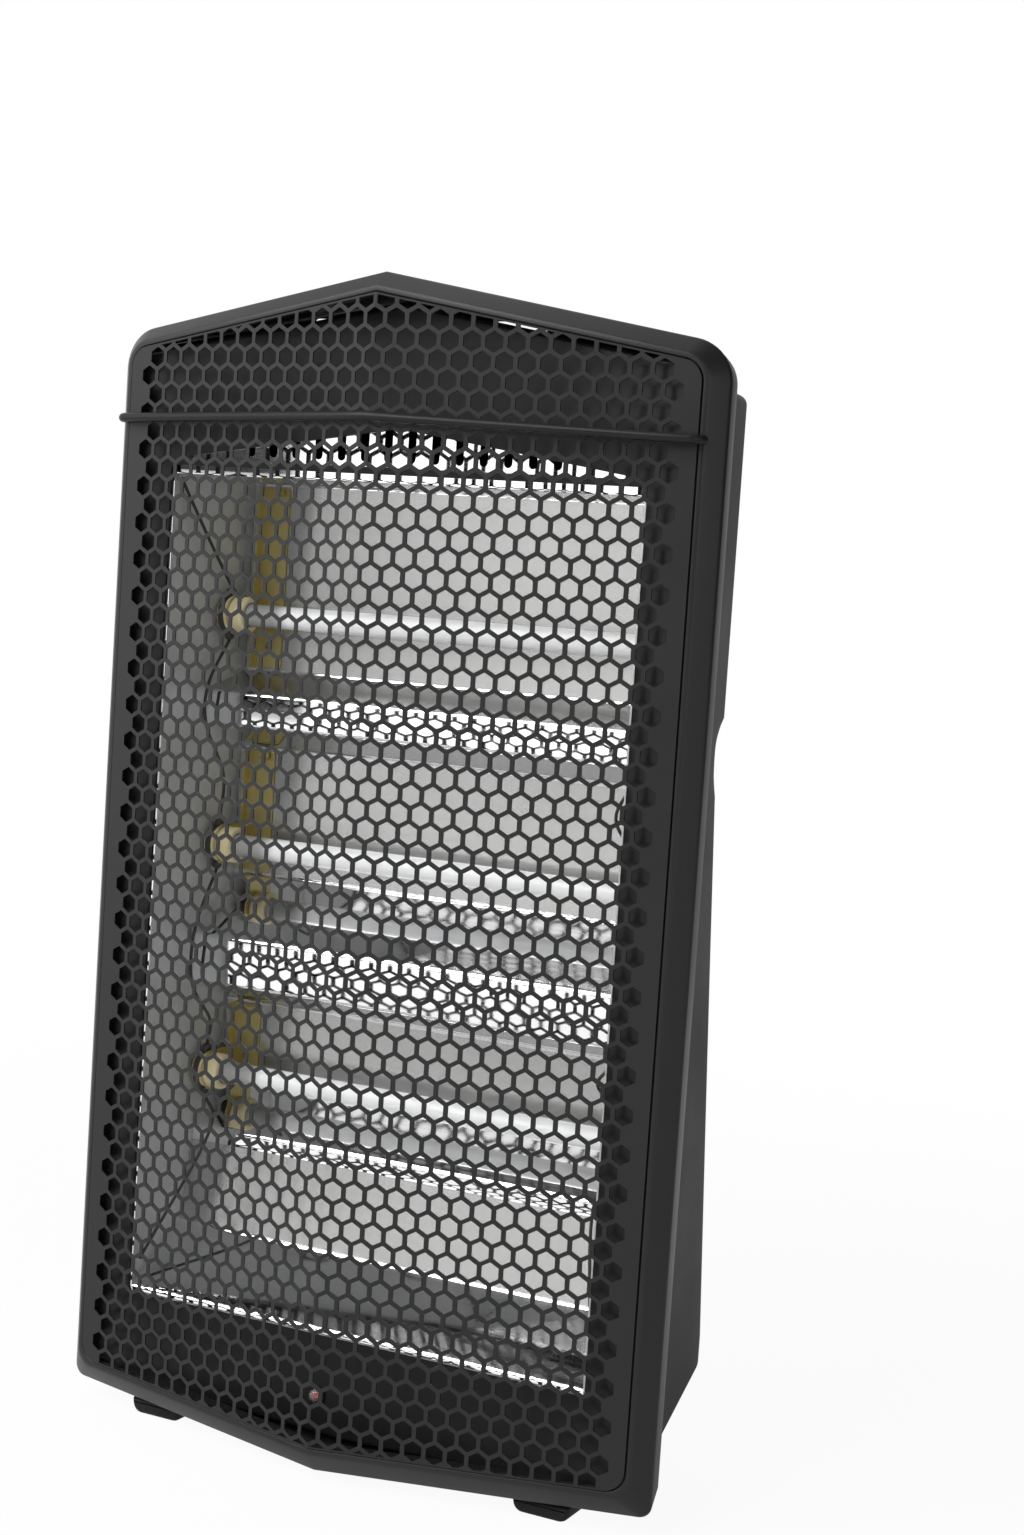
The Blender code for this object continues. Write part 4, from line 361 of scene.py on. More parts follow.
# Outlines
def rounded_loop(corners, steps=4):
    """Round each (u, v, radius) corner of a closed outline with an arc of equal steps."""
    points = []
    count = len(corners)
    for index, (u, v, radius) in enumerate(corners):
        here = Vector((u, v))
        if radius == 0:
            points.append(here)
            continue
        before = (Vector(corners[index - 1][:2]) - here).normalized()
        after = (Vector(corners[(index + 1) % count][:2]) - here).normalized()
        half_angle = before.angle(after) / 2
        centre = here + (before + after).normalized() * radius / math.sin(half_angle)
        start = here + before * radius / math.tan(half_angle) - centre
        end = here + after * radius / math.tan(half_angle) - centre
        sweep = start.angle_signed(end)
        for step in range(steps + 1):
            turn = -sweep * step / steps
            points.append(centre + Vector((start.x * math.cos(turn) - start.y * math.sin(turn),
                                           start.x * math.sin(turn) + start.y * math.cos(turn))))
    return points


def rounded_box(middle_u, middle_v, half_u, half_v, radius, steps):
    """A rectangle about its middle, with rounded corners."""
    return rounded_loop([(middle_u + side_u * half_u, middle_v + side_v * half_v, radius)
                         for side_u, side_v in ((-1, -1), (1, -1), (1, 1), (-1, 1))], steps)


def circle(middle_u, middle_v, radius, sides):
    turns = [2 * math.pi * step / sides for step in range(sides)]
    return [Vector((middle_u + radius * math.cos(turn), middle_v + radius * math.sin(turn)))
            for turn in turns]


def quarter(steps):
    """(sine, one less the cosine) along a quarter turn, for a round bend."""
    turns = [math.pi / 2 * step / steps for step in range(steps + 1)]
    return [(math.sin(turn), 1 - math.cos(turn)) for turn in turns]


def front_outline(side_inset, bottom_inset, steps=10):
    """The gabled outline of the front, drawn in by an inset."""
    half = HALF_WIDTH - side_inset
    peak = PEAK_HEIGHT - side_inset / math.cos(GABLE_ANGLE)
    keel = KEEL_HEIGHT + bottom_inset
    shoulder = peak - half * math.tan(GABLE_ANGLE)
    heel = keel + half * math.tan(KEEL_ANGLE)
    top_radius = max(TOP_CORNER_RADIUS - side_inset, LEAST_CORNER_RADIUS)
    low_spread = BOTTOM_OPENING_RADIUS - BOTTOM_CORNER_RADIUS
    low_radius = BOTTOM_CORNER_RADIUS + low_spread * side_inset / RIM_WIDTH
    return rounded_loop([(0, keel, 0), (half, heel, low_radius), (half, shoulder, top_radius),
                         (0, peak, 0), (-half, shoulder, top_radius), (-half, heel, low_radius)],
                        steps)


def smooth_route(points, pieces):
    """A smooth line through the given points, with equal pieces between each two."""
    ends = [points[0] * 2 - points[1], *points, points[-1] * 2 - points[-2]]
    line = []
    for index in range(1, len(ends) - 2):
        first, second, third, fourth = ends[index - 1:index + 3]
        for step in range(pieces):
            t = step / pieces
            line.append((second * 2 + (third - first) * t
                         + (first * 2 - second * 5 + third * 4 - fourth) * t * t
                         + (second * 3 - first - third * 3 + fourth) * t * t * t) / 2)
    line.append(points[-1])
    return line


# Shapes
def loft(rings, closed=False):
    """Join rings of points one after the other, with flat ends or back to the first ring."""
    shape = bmesh.new()
    made = [[shape.verts.new(point) for point in ring] for ring in rings]
    pairs = list(zip(made, made[1:]))
    if closed:
        pairs.append((made[-1], made[0]))
    else:
        shape.faces.new(made[0])
        shape.faces.new(made[-1])
    for lower, upper in pairs:
        for step in range(len(lower)):
            following = (step + 1) % len(lower)
            shape.faces.new((lower[step], lower[following], upper[following], upper[step]))
    return shape


def prism(outline, place, levels):
    """An outline repeated at some levels. place() maps (u, v, level) into space."""
    return loft([[place(u, v, level) for u, v in outline] for level in levels])


def turned(profile, sides, place, closed=False):
    """Turn (radius, along) points about an axis. place() maps (u, v, along) into space."""
    return loft([[place(u, v, along) for u, v in circle(0, 0, radius, sides)]
                 for radius, along in profile], closed)


def across(height):
    """Places points about an element's axis, which runs along X."""
    return lambda u, v, along: at(along, ELEMENT_DEPTH + u, height + v)


def upright(x, depth):
    """Places points about an upright axis."""
    return lambda u, v, along: at(x + u, depth + v, along)


def backward(x, height):
    """Places points about an axis that runs to the back."""
    return lambda u, v, along: at(x + u, along, height + v)


def sideways(side):
    """Places points of a (depth, height) outline at a distance out to one side."""
    return lambda depth, height, x: at(side * x, depth, height)


def add_shape(target, extra, finish=0):
    """Copy one bmesh into another as a separate shell with its own finish."""
    for face in extra.faces:
        face.material_index = finish
    carrier = bpy.data.meshes.new("carrier")
    extra.to_mesh(carrier)
    extra.free()
    target.from_mesh(carrier)
    bpy.data.meshes.remove(carrier)


def cut_sheet(loops, place, thickness, lines=()):
    """An upright sheet from its flat outline and holes, bent at the given lines. place() maps a
    flat point into space."""
    points, edges, faces = [], [], []
    for loop in loops:
        faces.append(list(range(len(points), len(points) + len(loop))))
        points += loop
    for line in lines:
        edges.append((len(points), len(points) + 1))
        points += line
    found = delaunay_2d_cdt(points, edges, faces, 1, 0.001)
    shape = bmesh.new()
    corners = [shape.verts.new(place(point)) for point in found[0]]
    for face, sources in zip(found[2], found[5]):
        if max(sources) == 0:
            shape.faces.new([corners[index] for index in face])
    loose = [corner for corner in shape.verts if not corner.link_faces]
    bmesh.ops.delete(shape, geom=loose, context="VERTS")
    made = bmesh.ops.extrude_face_region(shape, geom=shape.faces[:])["geom"]
    moved = [item for item in made if isinstance(item, bmesh.types.BMVert)]
    bmesh.ops.translate(shape, verts=moved, vec=(0, thickness * MM, 0))
    return shape


def close_mesh(name, shape):
    bmesh.ops.recalc_face_normals(shape, faces=shape.faces)
    mesh = bpy.data.meshes.new(name)
    shape.to_mesh(mesh)
    shape.free()
    return mesh


def cut_mesh(name, solid, *steps):
    """A mesh made of a solid and (operation, tool) steps that add a tool to it or take it off."""
    base = add_object(name + "_form", close_mesh(name + "_form", solid))
    used = [base]
    for operation, cutter in steps:
        tool = add_object(name + "_tool", close_mesh("tool", cutter))
        step = base.modifiers.new(tool.name, "BOOLEAN")
        step.operation = operation
        step.solver = "EXACT"
        step.object = tool
        used.append(tool)
    depsgraph = bpy.context.evaluated_depsgraph_get()
    mesh = bpy.data.meshes.new_from_object(base.evaluated_get(depsgraph))
    for item in used:
        bpy.data.objects.remove(item, do_unlink=True)
    mesh.name = name
    return mesh


# Pieces
def add_piece(name, data, finish, slot, *stands_for, body="body"):
    """Place a mesh or curve as a piece that rides on a body and stands for CAD nodes."""
    made = add_object(name, data)
    made.data.materials.append(finish)
    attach(made, body)
    if stands_for:
        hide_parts(*stands_for)
    return made


def add_form(name, form, sharp_degrees, finish, slot, *stands_for, body="body"):
    """Place a bmesh or mesh as a piece, smooth but for its edges over an angle where one is given."""
    mesh = form if isinstance(form, bpy.types.Mesh) else close_mesh(name, form)
    if sharp_degrees:
        mesh.shade_smooth()
        mesh.set_sharp_from_angle(angle=math.radians(sharp_degrees))
    return add_piece(name, mesh, finish, slot, *stands_for, body=body)


def add_wire(name, points, radius, finish, slot, *stands_for, roundness=4):
    curve = bpy.data.curves.new(name, "CURVE")
    curve.dimensions = "3D"
    curve.bevel_depth = radius * MM
    curve.bevel_resolution = roundness
    curve.use_fill_caps = True
    run = curve.splines.new("POLY")
    run.points.add(len(points) - 1)
    for knot, point in zip(run.points, points):
        knot.co = (*point, 1.0)
    add_piece(name, curve, finish, slot, *stands_for)


# Fine guard
HEX_PITCH = 11.0
HEX_ROW = 9.383
HEX_BAR = 2.2
HEX_FIRST_ROW = 543.1
HEX_ROWS = range(-5, 58)
HEX_COLUMNS = 13.5
LEAST_HOLE_AREA = 3.0
GUARD_THICKNESS = 0.8
GUARD_INSET = 10.6
GUARD_STRIP = 0.9


def clip_to(polygon, normal, limit):
    """The part of a convex polygon where its dot product with a normal is under a limit."""
    kept = []
    for index, there in enumerate(polygon):
        here = polygon[index - 1]
        before, after = here.dot(normal) - limit, there.dot(normal) - limit
        if (before < 0) != (after < 0):
            kept.append(here + (there - here) * before / (before - after))
        if after < 0:
            kept.append(there)
    return kept


def guard_holes():
    """The guard's hexagons on its flat sheet, cut off by the sloped top and bottom edges."""
    reach = (HEX_PITCH - HEX_BAR) / math.sqrt(3)
    inset = GUARD_INSET + GUARD_STRIP
    top = Vector((math.sin(GABLE_ANGLE) * math.cos(PROW_ANGLE), math.cos(GABLE_ANGLE)))
    peak = (PEAK_HEIGHT - inset / math.cos(GABLE_ANGLE)) * top.y
    low = Vector((math.sin(KEEL_ANGLE) * math.cos(PROW_ANGLE), -math.cos(KEEL_ANGLE)))
    keel = (KEEL_HEIGHT + inset + RIM_EXTRA) * low.y
    turns = [math.radians(60 * corner + 30) for corner in range(6)]
    columns = math.ceil(HEX_COLUMNS)
    holes = []
    for row in HEX_ROWS:
        shift, limit = (0.5, HEX_COLUMNS) if row % 2 == 0 else (0.0, HEX_COLUMNS - 0.5)
        for column in range(-columns, columns + 1):
            if abs(column + shift) > limit:
                continue
            middle = Vector(((column + shift) * HEX_PITCH, HEX_FIRST_ROW - row * HEX_ROW))
            hexagon = [middle + Vector((math.cos(turn), math.sin(turn))) * reach for turn in turns]
            for side in (-1, 1):
                hexagon = clip_to(hexagon, Vector((side * top.x, top.y)), peak)
                hexagon = clip_to(hexagon, Vector((side * low.x, low.y)), keel)
            area = sum(here.cross(there) for here, there in zip(hexagon, hexagon[1:] + hexagon[:1])) / 2
            if area > LEAST_HOLE_AREA:
                holes.append(hexagon)
    return holes


def make_guard():
    """The guard's sheet with all of its hexagons, folded at the prow."""
    stretch = 1 / math.cos(PROW_ANGLE)
    flat = [Vector((x * stretch, z)) for x, z in front_outline(GUARD_INSET, GUARD_INSET + RIM_EXTRA)]
    fold = [min(flat, key=lambda point: (abs(point.x), point.y)),
            min(flat, key=lambda point: (abs(point.x), -point.y))]
    sheet = cut_sheet([flat, *guard_holes()],
                      lambda point: at(point.x / stretch, abs(point.x) * math.sin(PROW_ANGLE), point.y),
                      GUARD_THICKNESS * stretch, [fold])
    add_form("hex_guard", sheet, None, GUARD_PAINT, "painted_steel", "hex_grille")


# Reflector
SHEET = 0.8
SHEET_BEND = 1.6
SHEET_COLUMNS = 24
SEAT_GAP = 0.3
FRONT_HALF = 134.0
BACK_HALF = 129.5
REFLECTOR_FRONT = 32.44
FLANGE_LOW = 500.0
FLANGE_HIGH = 530.8
# The sheet's front side as (depth, height, whether the wall that follows is satin).
REFLECTOR_WALLS = (
    (REFLECTOR_FRONT, FLANGE_LOW, False), (REFLECTOR_FRONT, 494.0, False), (104, 494.0, True),
    (104, 392.5, True), (70, 382.5, False), (70, 364.6, False), (104, 352.5, True),
    (104, 282.1, False), (70, 252.1, False), (70, 226.1, False), (104, 214.0, True),
    (104, 168.0, False), (80, 146.0, False), (80, 140.0, True), (72, 94.0, False),
    (REFLECTOR_FRONT, 68.0, False), (REFLECTOR_FRONT, 59.2, False))
END_LOW = 59.0
END_HIGH = 495.0
END_OUTLINE = ((REFLECTOR_FRONT, END_LOW), (68.0, END_LOW), (104.8, 140.0), (104.8, END_HIGH),
               (REFLECTOR_FRONT, END_HIGH))
END_LIP = 2.0
VENT_SLOTS = 14
VENT_SLOT_PITCH = 13.25
VENT_SLOT_HALF = 2.25
VENT_SLOT_MIDDLE = 515.25
VENT_SLOT_HALF_HEIGHT = 10.75


def end_half(depth):
    """Half the distance between the splayed end walls at a depth."""
    share = (depth - PANEL_DEPTH) / (TROUGH_DEPTH - PANEL_DEPTH)
    return FRONT_HALF + share * (BACK_HALF - FRONT_HALF)


def bent_line():
    """The sheet's line with every bend rounded, and whether each short wall is satin."""
    points = [Vector(wall[:2]) for wall in REFLECTOR_WALLS]
    line, satin = [points[0]], []
    for index in range(1, len(points) - 1):
        here = points[index]
        before, after = points[index - 1] - here, points[index + 1] - here
        room = min(SHEET_BEND, before.length * 0.4, after.length * 0.4)
        start, end = here + before.normalized() * room, here + after.normalized() * room
        satin += [REFLECTOR_WALLS[index - 1][2], False, False, False, False]
        line.append(start)
        for share in (0.25, 0.5, 0.75, 1.0):
            line.append(start * (1 - share) ** 2 + here * 2 * share * (1 - share) + end * share ** 2)
    return [*line, points[-1]], [*satin, REFLECTOR_WALLS[-2][2]]


def sheet_back(line):
    """The line moved by the sheet's thickness, for its other side."""
    moved = []
    for index, here in enumerate(line):
        run = (line[min(index + 1, len(line) - 1)] - line[max(index - 1, 0)]).normalized()
        moved.append(here + Vector((-run.y, run.x)) * SHEET)
    return moved


def make_reflector():
    """The bent sheet below its slotted flange: satin backs, and polished ridges and sills."""
    line, satin = bent_line()
    shape = bmesh.new()
    spread = [2 * column / SHEET_COLUMNS - 1 for column in range(SHEET_COLUMNS + 1)]
    front, rear = [[[shape.verts.new(at(share * (end_half(point.x) - SEAT_GAP), *point))
                     for share in spread] for point in side] for side in (line, sheet_back(line))]
    last = len(line) - 1
    for made in (front, rear):
        for index in range(last):
            for column in range(SHEET_COLUMNS):
                face = shape.faces.new((made[index][column], made[index][column + 1],
                                        made[index + 1][column + 1], made[index + 1][column]))
                face.material_index = int(satin[index])
    for index in range(last):
        for column in (0, SHEET_COLUMNS):
            shape.faces.new((front[index][column], front[index + 1][column],
                             rear[index + 1][column], rear[index][column]))
    for column in range(SHEET_COLUMNS):
        for index in (0, last):
            shape.faces.new((front[index][column], front[index][column + 1],
                             rear[index][column + 1], rear[index][column]))
    made = add_form("reflector_sheet", shape, 20, MIRROR, "polished", "reflector")
    made.data.materials.append(SATIN)


def make_vent_flange():
    """The reflector's upright top flange, with its row of long round-ended slots."""
    half = end_half(REFLECTOR_FRONT) - SEAT_GAP
    outline = [Vector(corner) for corner in ((-half, FLANGE_LOW), (half, FLANGE_LOW),
                                             (half, FLANGE_HIGH), (-half, FLANGE_HIGH))]
    slots = [rounded_box((index - (VENT_SLOTS - 1) / 2) * VENT_SLOT_PITCH, VENT_SLOT_MIDDLE,
                         VENT_SLOT_HALF, VENT_SLOT_HALF_HEIGHT, VENT_SLOT_HALF * 0.98, 6)
             for index in range(VENT_SLOTS)]
    sheet = cut_sheet([outline, *slots], lambda point: at(point.x, REFLECTOR_FRONT, point.y), SHEET)
    add_form("reflector_flange", sheet, None, MIRROR, "polished")


def make_reflector_end(side, word):
    """A splayed end wall with a narrow lip at its front, turned in behind the window's edge."""
    shape = bmesh.new()
    add_shape(shape, loft([[at(side * (end_half(depth) + thickness), depth, z)
                            for depth, z in END_OUTLINE] for thickness in (0, SHEET)]))
    edge, front, back = end_half(REFLECTOR_FRONT), REFLECTOR_FRONT, REFLECTOR_FRONT + SHEET
    plan = rounded_loop([(edge - END_LIP, front, 0.3), (edge, front, 0), (edge, back, 0),
                         (edge - END_LIP, back, 0.3)], 3)
    lip = prism(plan, lambda x, depth, height: at(side * x, depth, height), (END_LOW, END_HIGH))
    add_shape(shape, lip, 1 if side < 0 else 0)
    made = add_form("reflector_end_sheet_" + word, shape, None, DULL, "polished",
                    "reflector_end_" + word)
    made.data.materials.append(MIRROR)


# Front frame. The rim's section is (inset, setback behind the guard's face, edge radius).
RIM_SECTION = ((0, 16.0, 0), (0, 8.5, 3.4), (7.5, 0.6, 2.6), (10.1, 0.5, 0.6), (10.1, 3.4, 0),
               (11.1, 3.4, 0), (11.1, 5.0, 0), (9.4, 6.4, 0), (9.4, 14.0, 0), (3.0, 14.6, 0),
               (3.0, 16.0, 0))
RIM_BACK = 15.9
EXTRA_FROM = 1.8
EXTRA_RUN = 5.7
SEAT_SECTION = ((9.0, 2.9, 0), (15.3, 2.6, 0.5), (15.3, 3.8, 0.5), (9.0, 4.1, 0))
SEAT_LOW = 24
SEAT_HIGH = 541


def make_front_frame():
    """The moulded frame with a rounded rim that slopes up to the guard's edge."""
    rings = []
    for inset, setback in rounded_loop(RIM_SECTION, 6):
        if setback > RIM_BACK:
            inset += FRAME_DRAFT
            rings.append([at(x, FRAME_BACK, z) for x, z in front_outline(inset, inset, 12)])
        else:
            extra = RIM_EXTRA * min(max((inset - EXTRA_FROM) / EXTRA_RUN, 0), 1)
            rings.append([at(x, prow(x) + setback, z)
                          for x, z in front_outline(inset, inset + extra, 12)])
    add_form("front_frame", loft(rings, closed=True), 28, FRAME_MOULDING, "black_moulding",
             "front_bezel")


def make_guard_seat(side, word):
    """A narrow ledge of the frame just behind the guard's side edge."""
    def place(inset, setback, height):
        x = HALF_WIDTH - inset
        return at(side * x, prow(x) + setback, height)

    ledge = prism(rounded_loop(SEAT_SECTION, 3), place, (SEAT_LOW, SEAT_HIGH))
    add_form("guard_seat_" + word, ledge, 35, FRAME_MOULDING, "black_moulding")


# Guard rod
ROD_RADIUS = 2.3
ROD_HEIGHT = 524.5
ROD_FALL = 3.5
ROD_END_X = 161.4
ROD_LIFT = -5.3
ROD_SEAT = -0.1
ROD_BEND = 5.0


def make_guard_rod():
    """The guard rod, bent at the fold, whose ends curve back to the crest of the frame's rim."""
    right = [(3.0, ROD_LIFT + 0.17), *[(x, ROD_LIFT) for x in (7.0, 30.0, 80.0, 120.0, 140.0)]]
    for sine, rise in quarter(6):
        right.append((ROD_END_X + ROD_BEND * (sine - 1), min(ROD_LIFT + ROD_BEND * rise, ROD_SEAT)))
    left = [(-x, setback) for x, setback in reversed(right)]
    points = [at(x, prow(x) + setback, ROD_HEIGHT - ROD_FALL * abs(x) / ROD_END_X)
              for x, setback in [*left, (0, ROD_LIFT + 0.62), *right]]
    add_wire("guard_bar", points, ROD_RADIUS, ROD_PAINT, "painted_steel", "guard_rod", roundness=5)


# Front panel
PANEL_INSET = 12.0
PANEL_LOW_INSET = 8.4
PANEL_SHEET = 1.0
PANEL_BEND = 2.5
PANEL_BACK = 51.5
VENT_HALF = 122.0
LAMP_X = -14.0
LAMP_HEIGHT = 34.5
LAMP_HOLE_RADIUS = 3.8


def panel_openings():
    """The panel's window, gabled vent, lamp hole and two small slots near the gable."""
    window = rounded_box(0, 282.0, 133.5, 216.5, 2.0, 4)
    vent = rounded_loop([(-VENT_HALF, 502.0, 1.0), (VENT_HALF, 502.0, 1.0), (VENT_HALF, 503.5, 0),
                         (0, 521.0, 3.0), (-VENT_HALF, 503.5, 0)], 3)
    peeps = [rounded_box(x, 573.6, 7.5, 2.5, 1.5, 4) for x in (-58.5, 58.5)]
    return [window, vent, circle(LAMP_X, LAMP_HEIGHT, LAMP_HOLE_RADIUS, 28), *peeps]


def make_panel():
    """The pressed panel: a flat face with its openings, and a rim that bends round to the back."""
    flat = front_outline(PANEL_INSET + PANEL_BEND, PANEL_LOW_INSET + PANEL_BEND)
    shape = bmesh.new()
    add_shape(shape, cut_sheet([flat, *panel_openings()],
                               lambda point: at(point.x, PANEL_DEPTH, point.y), PANEL_SHEET))
    outer = [(PANEL_BEND * (1 - sine), PANEL_BEND * rise) for sine, rise in quarter(5)]
    outer.append((0, PANEL_BACK - PANEL_DEPTH))
    inner = [(inset + PANEL_SHEET, max(depth, PANEL_SHEET)) for inset, depth in reversed(outer)]
    rings = [[at(x, PANEL_DEPTH + depth, z)
              for x, z in front_outline(PANEL_INSET + inset, PANEL_LOW_INSET + inset)]
             for inset, depth in [*outer, *inner]]
    add_shape(shape, loft(rings, closed=True))
    add_form("front_panel_sheet", shape, 28, PAINT, "painted_steel", "front_panel")


# Quartz elements
ELEMENT_DEPTH = 83.0
ELEMENT_HEIGHTS = (423.0, 300.0, 177.0)
TUBE_RADIUS = 6.0
TUBE_BORE_RADIUS = 4.7
CAP_RADIUS = 9.5
CAP_OUTER = end_half(ELEMENT_DEPTH + CAP_RADIUS) - SEAT_GAP
CAP_LENGTH = 16.0
CAP_MOUTH = CAP_OUTER - CAP_LENGTH
CAP_GROOVE = CAP_OUTER - 6.85
WINDING_TURNS = 120
WINDING_POINTS = 10
WINDING_RADIUS = 3.2
CLIP_HALF = 1.6
# Half width, half depth and reach of a clip's tab.
CLIP_TAB = ((1.6, 2.6, 9.9), (1.6, 2.6, 12.5), (1.3, 1.4, 13.6), (0.7, 0.8, 13.9))


def make_tube(index, height):
    """A frosted tube with fire-polished ends."""
    end = CAP_MOUTH + 5.7
    profile = rounded_loop([(TUBE_RADIUS, -end, 0.6), (TUBE_RADIUS, end, 0.6),
                            (TUBE_BORE_RADIUS, end, 0.6), (TUBE_BORE_RADIUS, -end, 0.6)])
    add_form(f"frosted_tube_{index}", turned(profile, 48, across(height), closed=True), 40, QUARTZ,
             "quartz", f"quartz_tube_{index}")


def make_winding(index, height):
    """The wound resistance wire in the tube, with a straight pin at each end."""
    end = CAP_MOUTH + 3.0
    reach = end - 9.0
    count = WINDING_TURNS * WINDING_POINTS
    points = [at(-end, ELEMENT_DEPTH, height)]
    for step in range(count + 1):
        turn = 2 * math.pi * step / WINDING_POINTS
        points.append(at(reach * (2 * step / count - 1), ELEMENT_DEPTH + WINDING_RADIUS * math.cos(turn),
                         height + WINDING_RADIUS * math.sin(turn)))
    points.append(at(end, ELEMENT_DEPTH, height))
    add_wire(f"wound_wire_{index}", points, 0.45, COIL, "resistance_wire", f"heating_coil_{index}",
             roundness=1)


def make_cap(index, height, side, word):
    """A grooved ceramic spool with rounded edges and a blind bore for the tube."""
    low, high = CAP_GROOVE - 0.85, CAP_GROOVE + 0.85
    profile = rounded_loop([
        (6.4, CAP_MOUTH + 6.0, 0), (6.4, CAP_MOUTH, 0.5), (CAP_RADIUS, CAP_MOUTH, 1.4),
        (CAP_RADIUS, low, 0.5), (7.0, low, 0.3), (7.0, high, 0.3), (CAP_RADIUS, high, 0.5),
        (CAP_RADIUS, CAP_OUTER, 1.4), (3.0, CAP_OUTER, 0.4), (3.0, CAP_OUTER - 2.0, 0)])
    spool = turned([(radius, side * along) for radius, along in profile], 48, across(height))
    add_form(f"ceramic_end_{word}_{index}", spool, 40, CERAMIC, "ceramic",
             f"ceramic_cap_{word}_{index}")


def make_clip(index, height, side, word):
    """A dark spring clip round the cap's outer land, with a tab above and below for the leads."""
    middle = side * (CAP_OUTER - 3.2)
    band = [(9.6, middle - CLIP_HALF), (9.6, middle + CLIP_HALF), (10.1, middle + CLIP_HALF),
            (10.1, middle - CLIP_HALF)]
    shape = bmesh.new()
    add_shape(shape, turned(band, 48, across(height), closed=True))
    for up in (-1, 1):
        add_shape(shape, loft([[at(x, ELEMENT_DEPTH + depth, height + up * reach) for x, depth in
                                rounded_box(middle, 0, half_width, half_depth, 0.5, 3)]
                               for half_width, half_depth, reach in CLIP_TAB]))
    add_form(f"lead_clip_{word}_{index}", shape, 35, CLIP, "steel")


# Element brackets
TROUGH_SPANS = ((392.46, 494.0), (282.08, 352.49), (168.0, 213.99))
STRAP_MARGIN = 2.5
STRAP_BACK = 103.7
STRAP_LEG = 98.7
STRAP_SHEET = 1.0
STRAP_WIDTH = 16.5
STRAP_CORNER = 2.5
STRAP_HOLE_RADIUS = 2.2
STRAP_HOLE_RISE = 12.0
EAR_TIP = 79.0
EAR_HALF = 10.5
NOTCH_RADIUS = 7.3
CURL_RADIUS = 2.2
CURL_SHEET = 0.7
CURL_WIDTH = 6.0


def make_strap(index, height, side, word):
    """A passivated strip on a trough's back wall with a hole and a curled end, and a forked ear."""
    low, high = TROUGH_SPANS[index - 1]
    low, high = low + STRAP_MARGIN, high - STRAP_MARGIN
    notch = []
    for step in range(17):
        turn = math.pi * step / 16 - math.pi / 2
        notch.append((ELEMENT_DEPTH + NOTCH_RADIUS * math.cos(turn),
                      height + NOTCH_RADIUS * math.sin(turn), 0))
    ear = rounded_loop([(STRAP_BACK, low, 0), (STRAP_LEG, low, 1.5), (STRAP_LEG, height - EAR_HALF, 2.0),
                        (EAR_TIP, height - EAR_HALF, 1.5), (EAR_TIP, height - NOTCH_RADIUS, 0.8), *notch,
                        (EAR_TIP, height + NOTCH_RADIUS, 0.8), (EAR_TIP, height + EAR_HALF, 1.5),
                        (STRAP_LEG, height + EAR_HALF, 2.0), (STRAP_LEG, high, 1.5),
                        (STRAP_BACK, high, 0)])
    shape = bmesh.new()
    inner, outer = CAP_GROOVE - STRAP_WIDTH, CAP_GROOVE - STRAP_SHEET / 2
    add_shape(shape, prism(ear, sideways(side), (outer, outer + STRAP_SHEET)))
    face = STRAP_BACK - STRAP_SHEET
    strip = rounded_loop([(inner, low, STRAP_CORNER), (outer, low, 0), (outer, high, 0),
                          (inner, high, STRAP_CORNER)], 5)
    hole = circle((inner + outer) / 2, low + STRAP_HOLE_RISE, STRAP_HOLE_RADIUS, 24)
    add_shape(shape, cut_sheet([strip, hole], lambda point: at(side * point.x, face, point.y),
                               STRAP_SHEET))
    turns = [1.25 * math.pi * step / 8 for step in range(9)]
    curl = [(face - radius * math.sin(turn), high - CURL_RADIUS + radius * math.cos(turn))
            for radius, order in ((CURL_RADIUS, turns), (CURL_RADIUS - CURL_SHEET, turns[::-1]))
            for turn in order]
    start = inner + STRAP_CORNER
    add_shape(shape, prism(curl, sideways(side), (start, start + CURL_WIDTH)))
    add_form(f"cap_strap_{word}_{index}", shape, 30, GOLD, "gold", f"cap_bracket_{word}_{index}")


# Element leads
LEAD_RADIUS = 0.85
LEAD_RISE = 13.5
LEAD_FRONT = 38.5
LEAD_WALL_GAP = 1.6
LEAD_RIDGE_DEPTH = 65.2
RIDGE_SPANS = ((382.5, 364.6), (252.1, 226.1))


def make_leads(side, word):
    """Four sleeved leads that chain the caps at one end, from the top wall down to the floor."""
    terminal, near = side * (CAP_OUTER - 3.5), side * CAP_MOUTH
    start_x = side * (end_half(LEAD_FRONT) - LEAD_WALL_GAP)
    tops = [(terminal, ELEMENT_DEPTH, height + LEAD_RISE) for height in ELEMENT_HEIGHTS]
    feet = [(terminal, ELEMENT_DEPTH, height - LEAD_RISE) for height in ELEMENT_HEIGHTS]
    bend = ((start_x + terminal) / 2 - side * LEAD_WALL_GAP,
            (LEAD_FRONT + ELEMENT_DEPTH) / 2 - LEAD_WALL_GAP, 463.0)
    routes = [[(start_x, LEAD_FRONT, 492.4), bend, tops[0]]]
    for foot, top, (ridge_top, ridge_low) in zip(feet, tops[1:], RIDGE_SPANS):
        routes.append([foot, (terminal, LEAD_RIDGE_DEPTH, ridge_top + 3.2),
                       (terminal, LEAD_RIDGE_DEPTH, ridge_low),
                       (near, LEAD_RIDGE_DEPTH, (ridge_low + top[2]) / 2), top])
    routes.append([feet[-1], (near, 70.4, 146.0), (start_x, LEAD_FRONT, 80.8)])
    for number, route in enumerate(routes, 1):
        add_wire(f"sleeved_lead_{word}_{number}", smooth_route([at(*point) for point in route], 10),
                 LEAD_RADIUS, LEAD, "lead", f"element_wire_{word}_{number}")


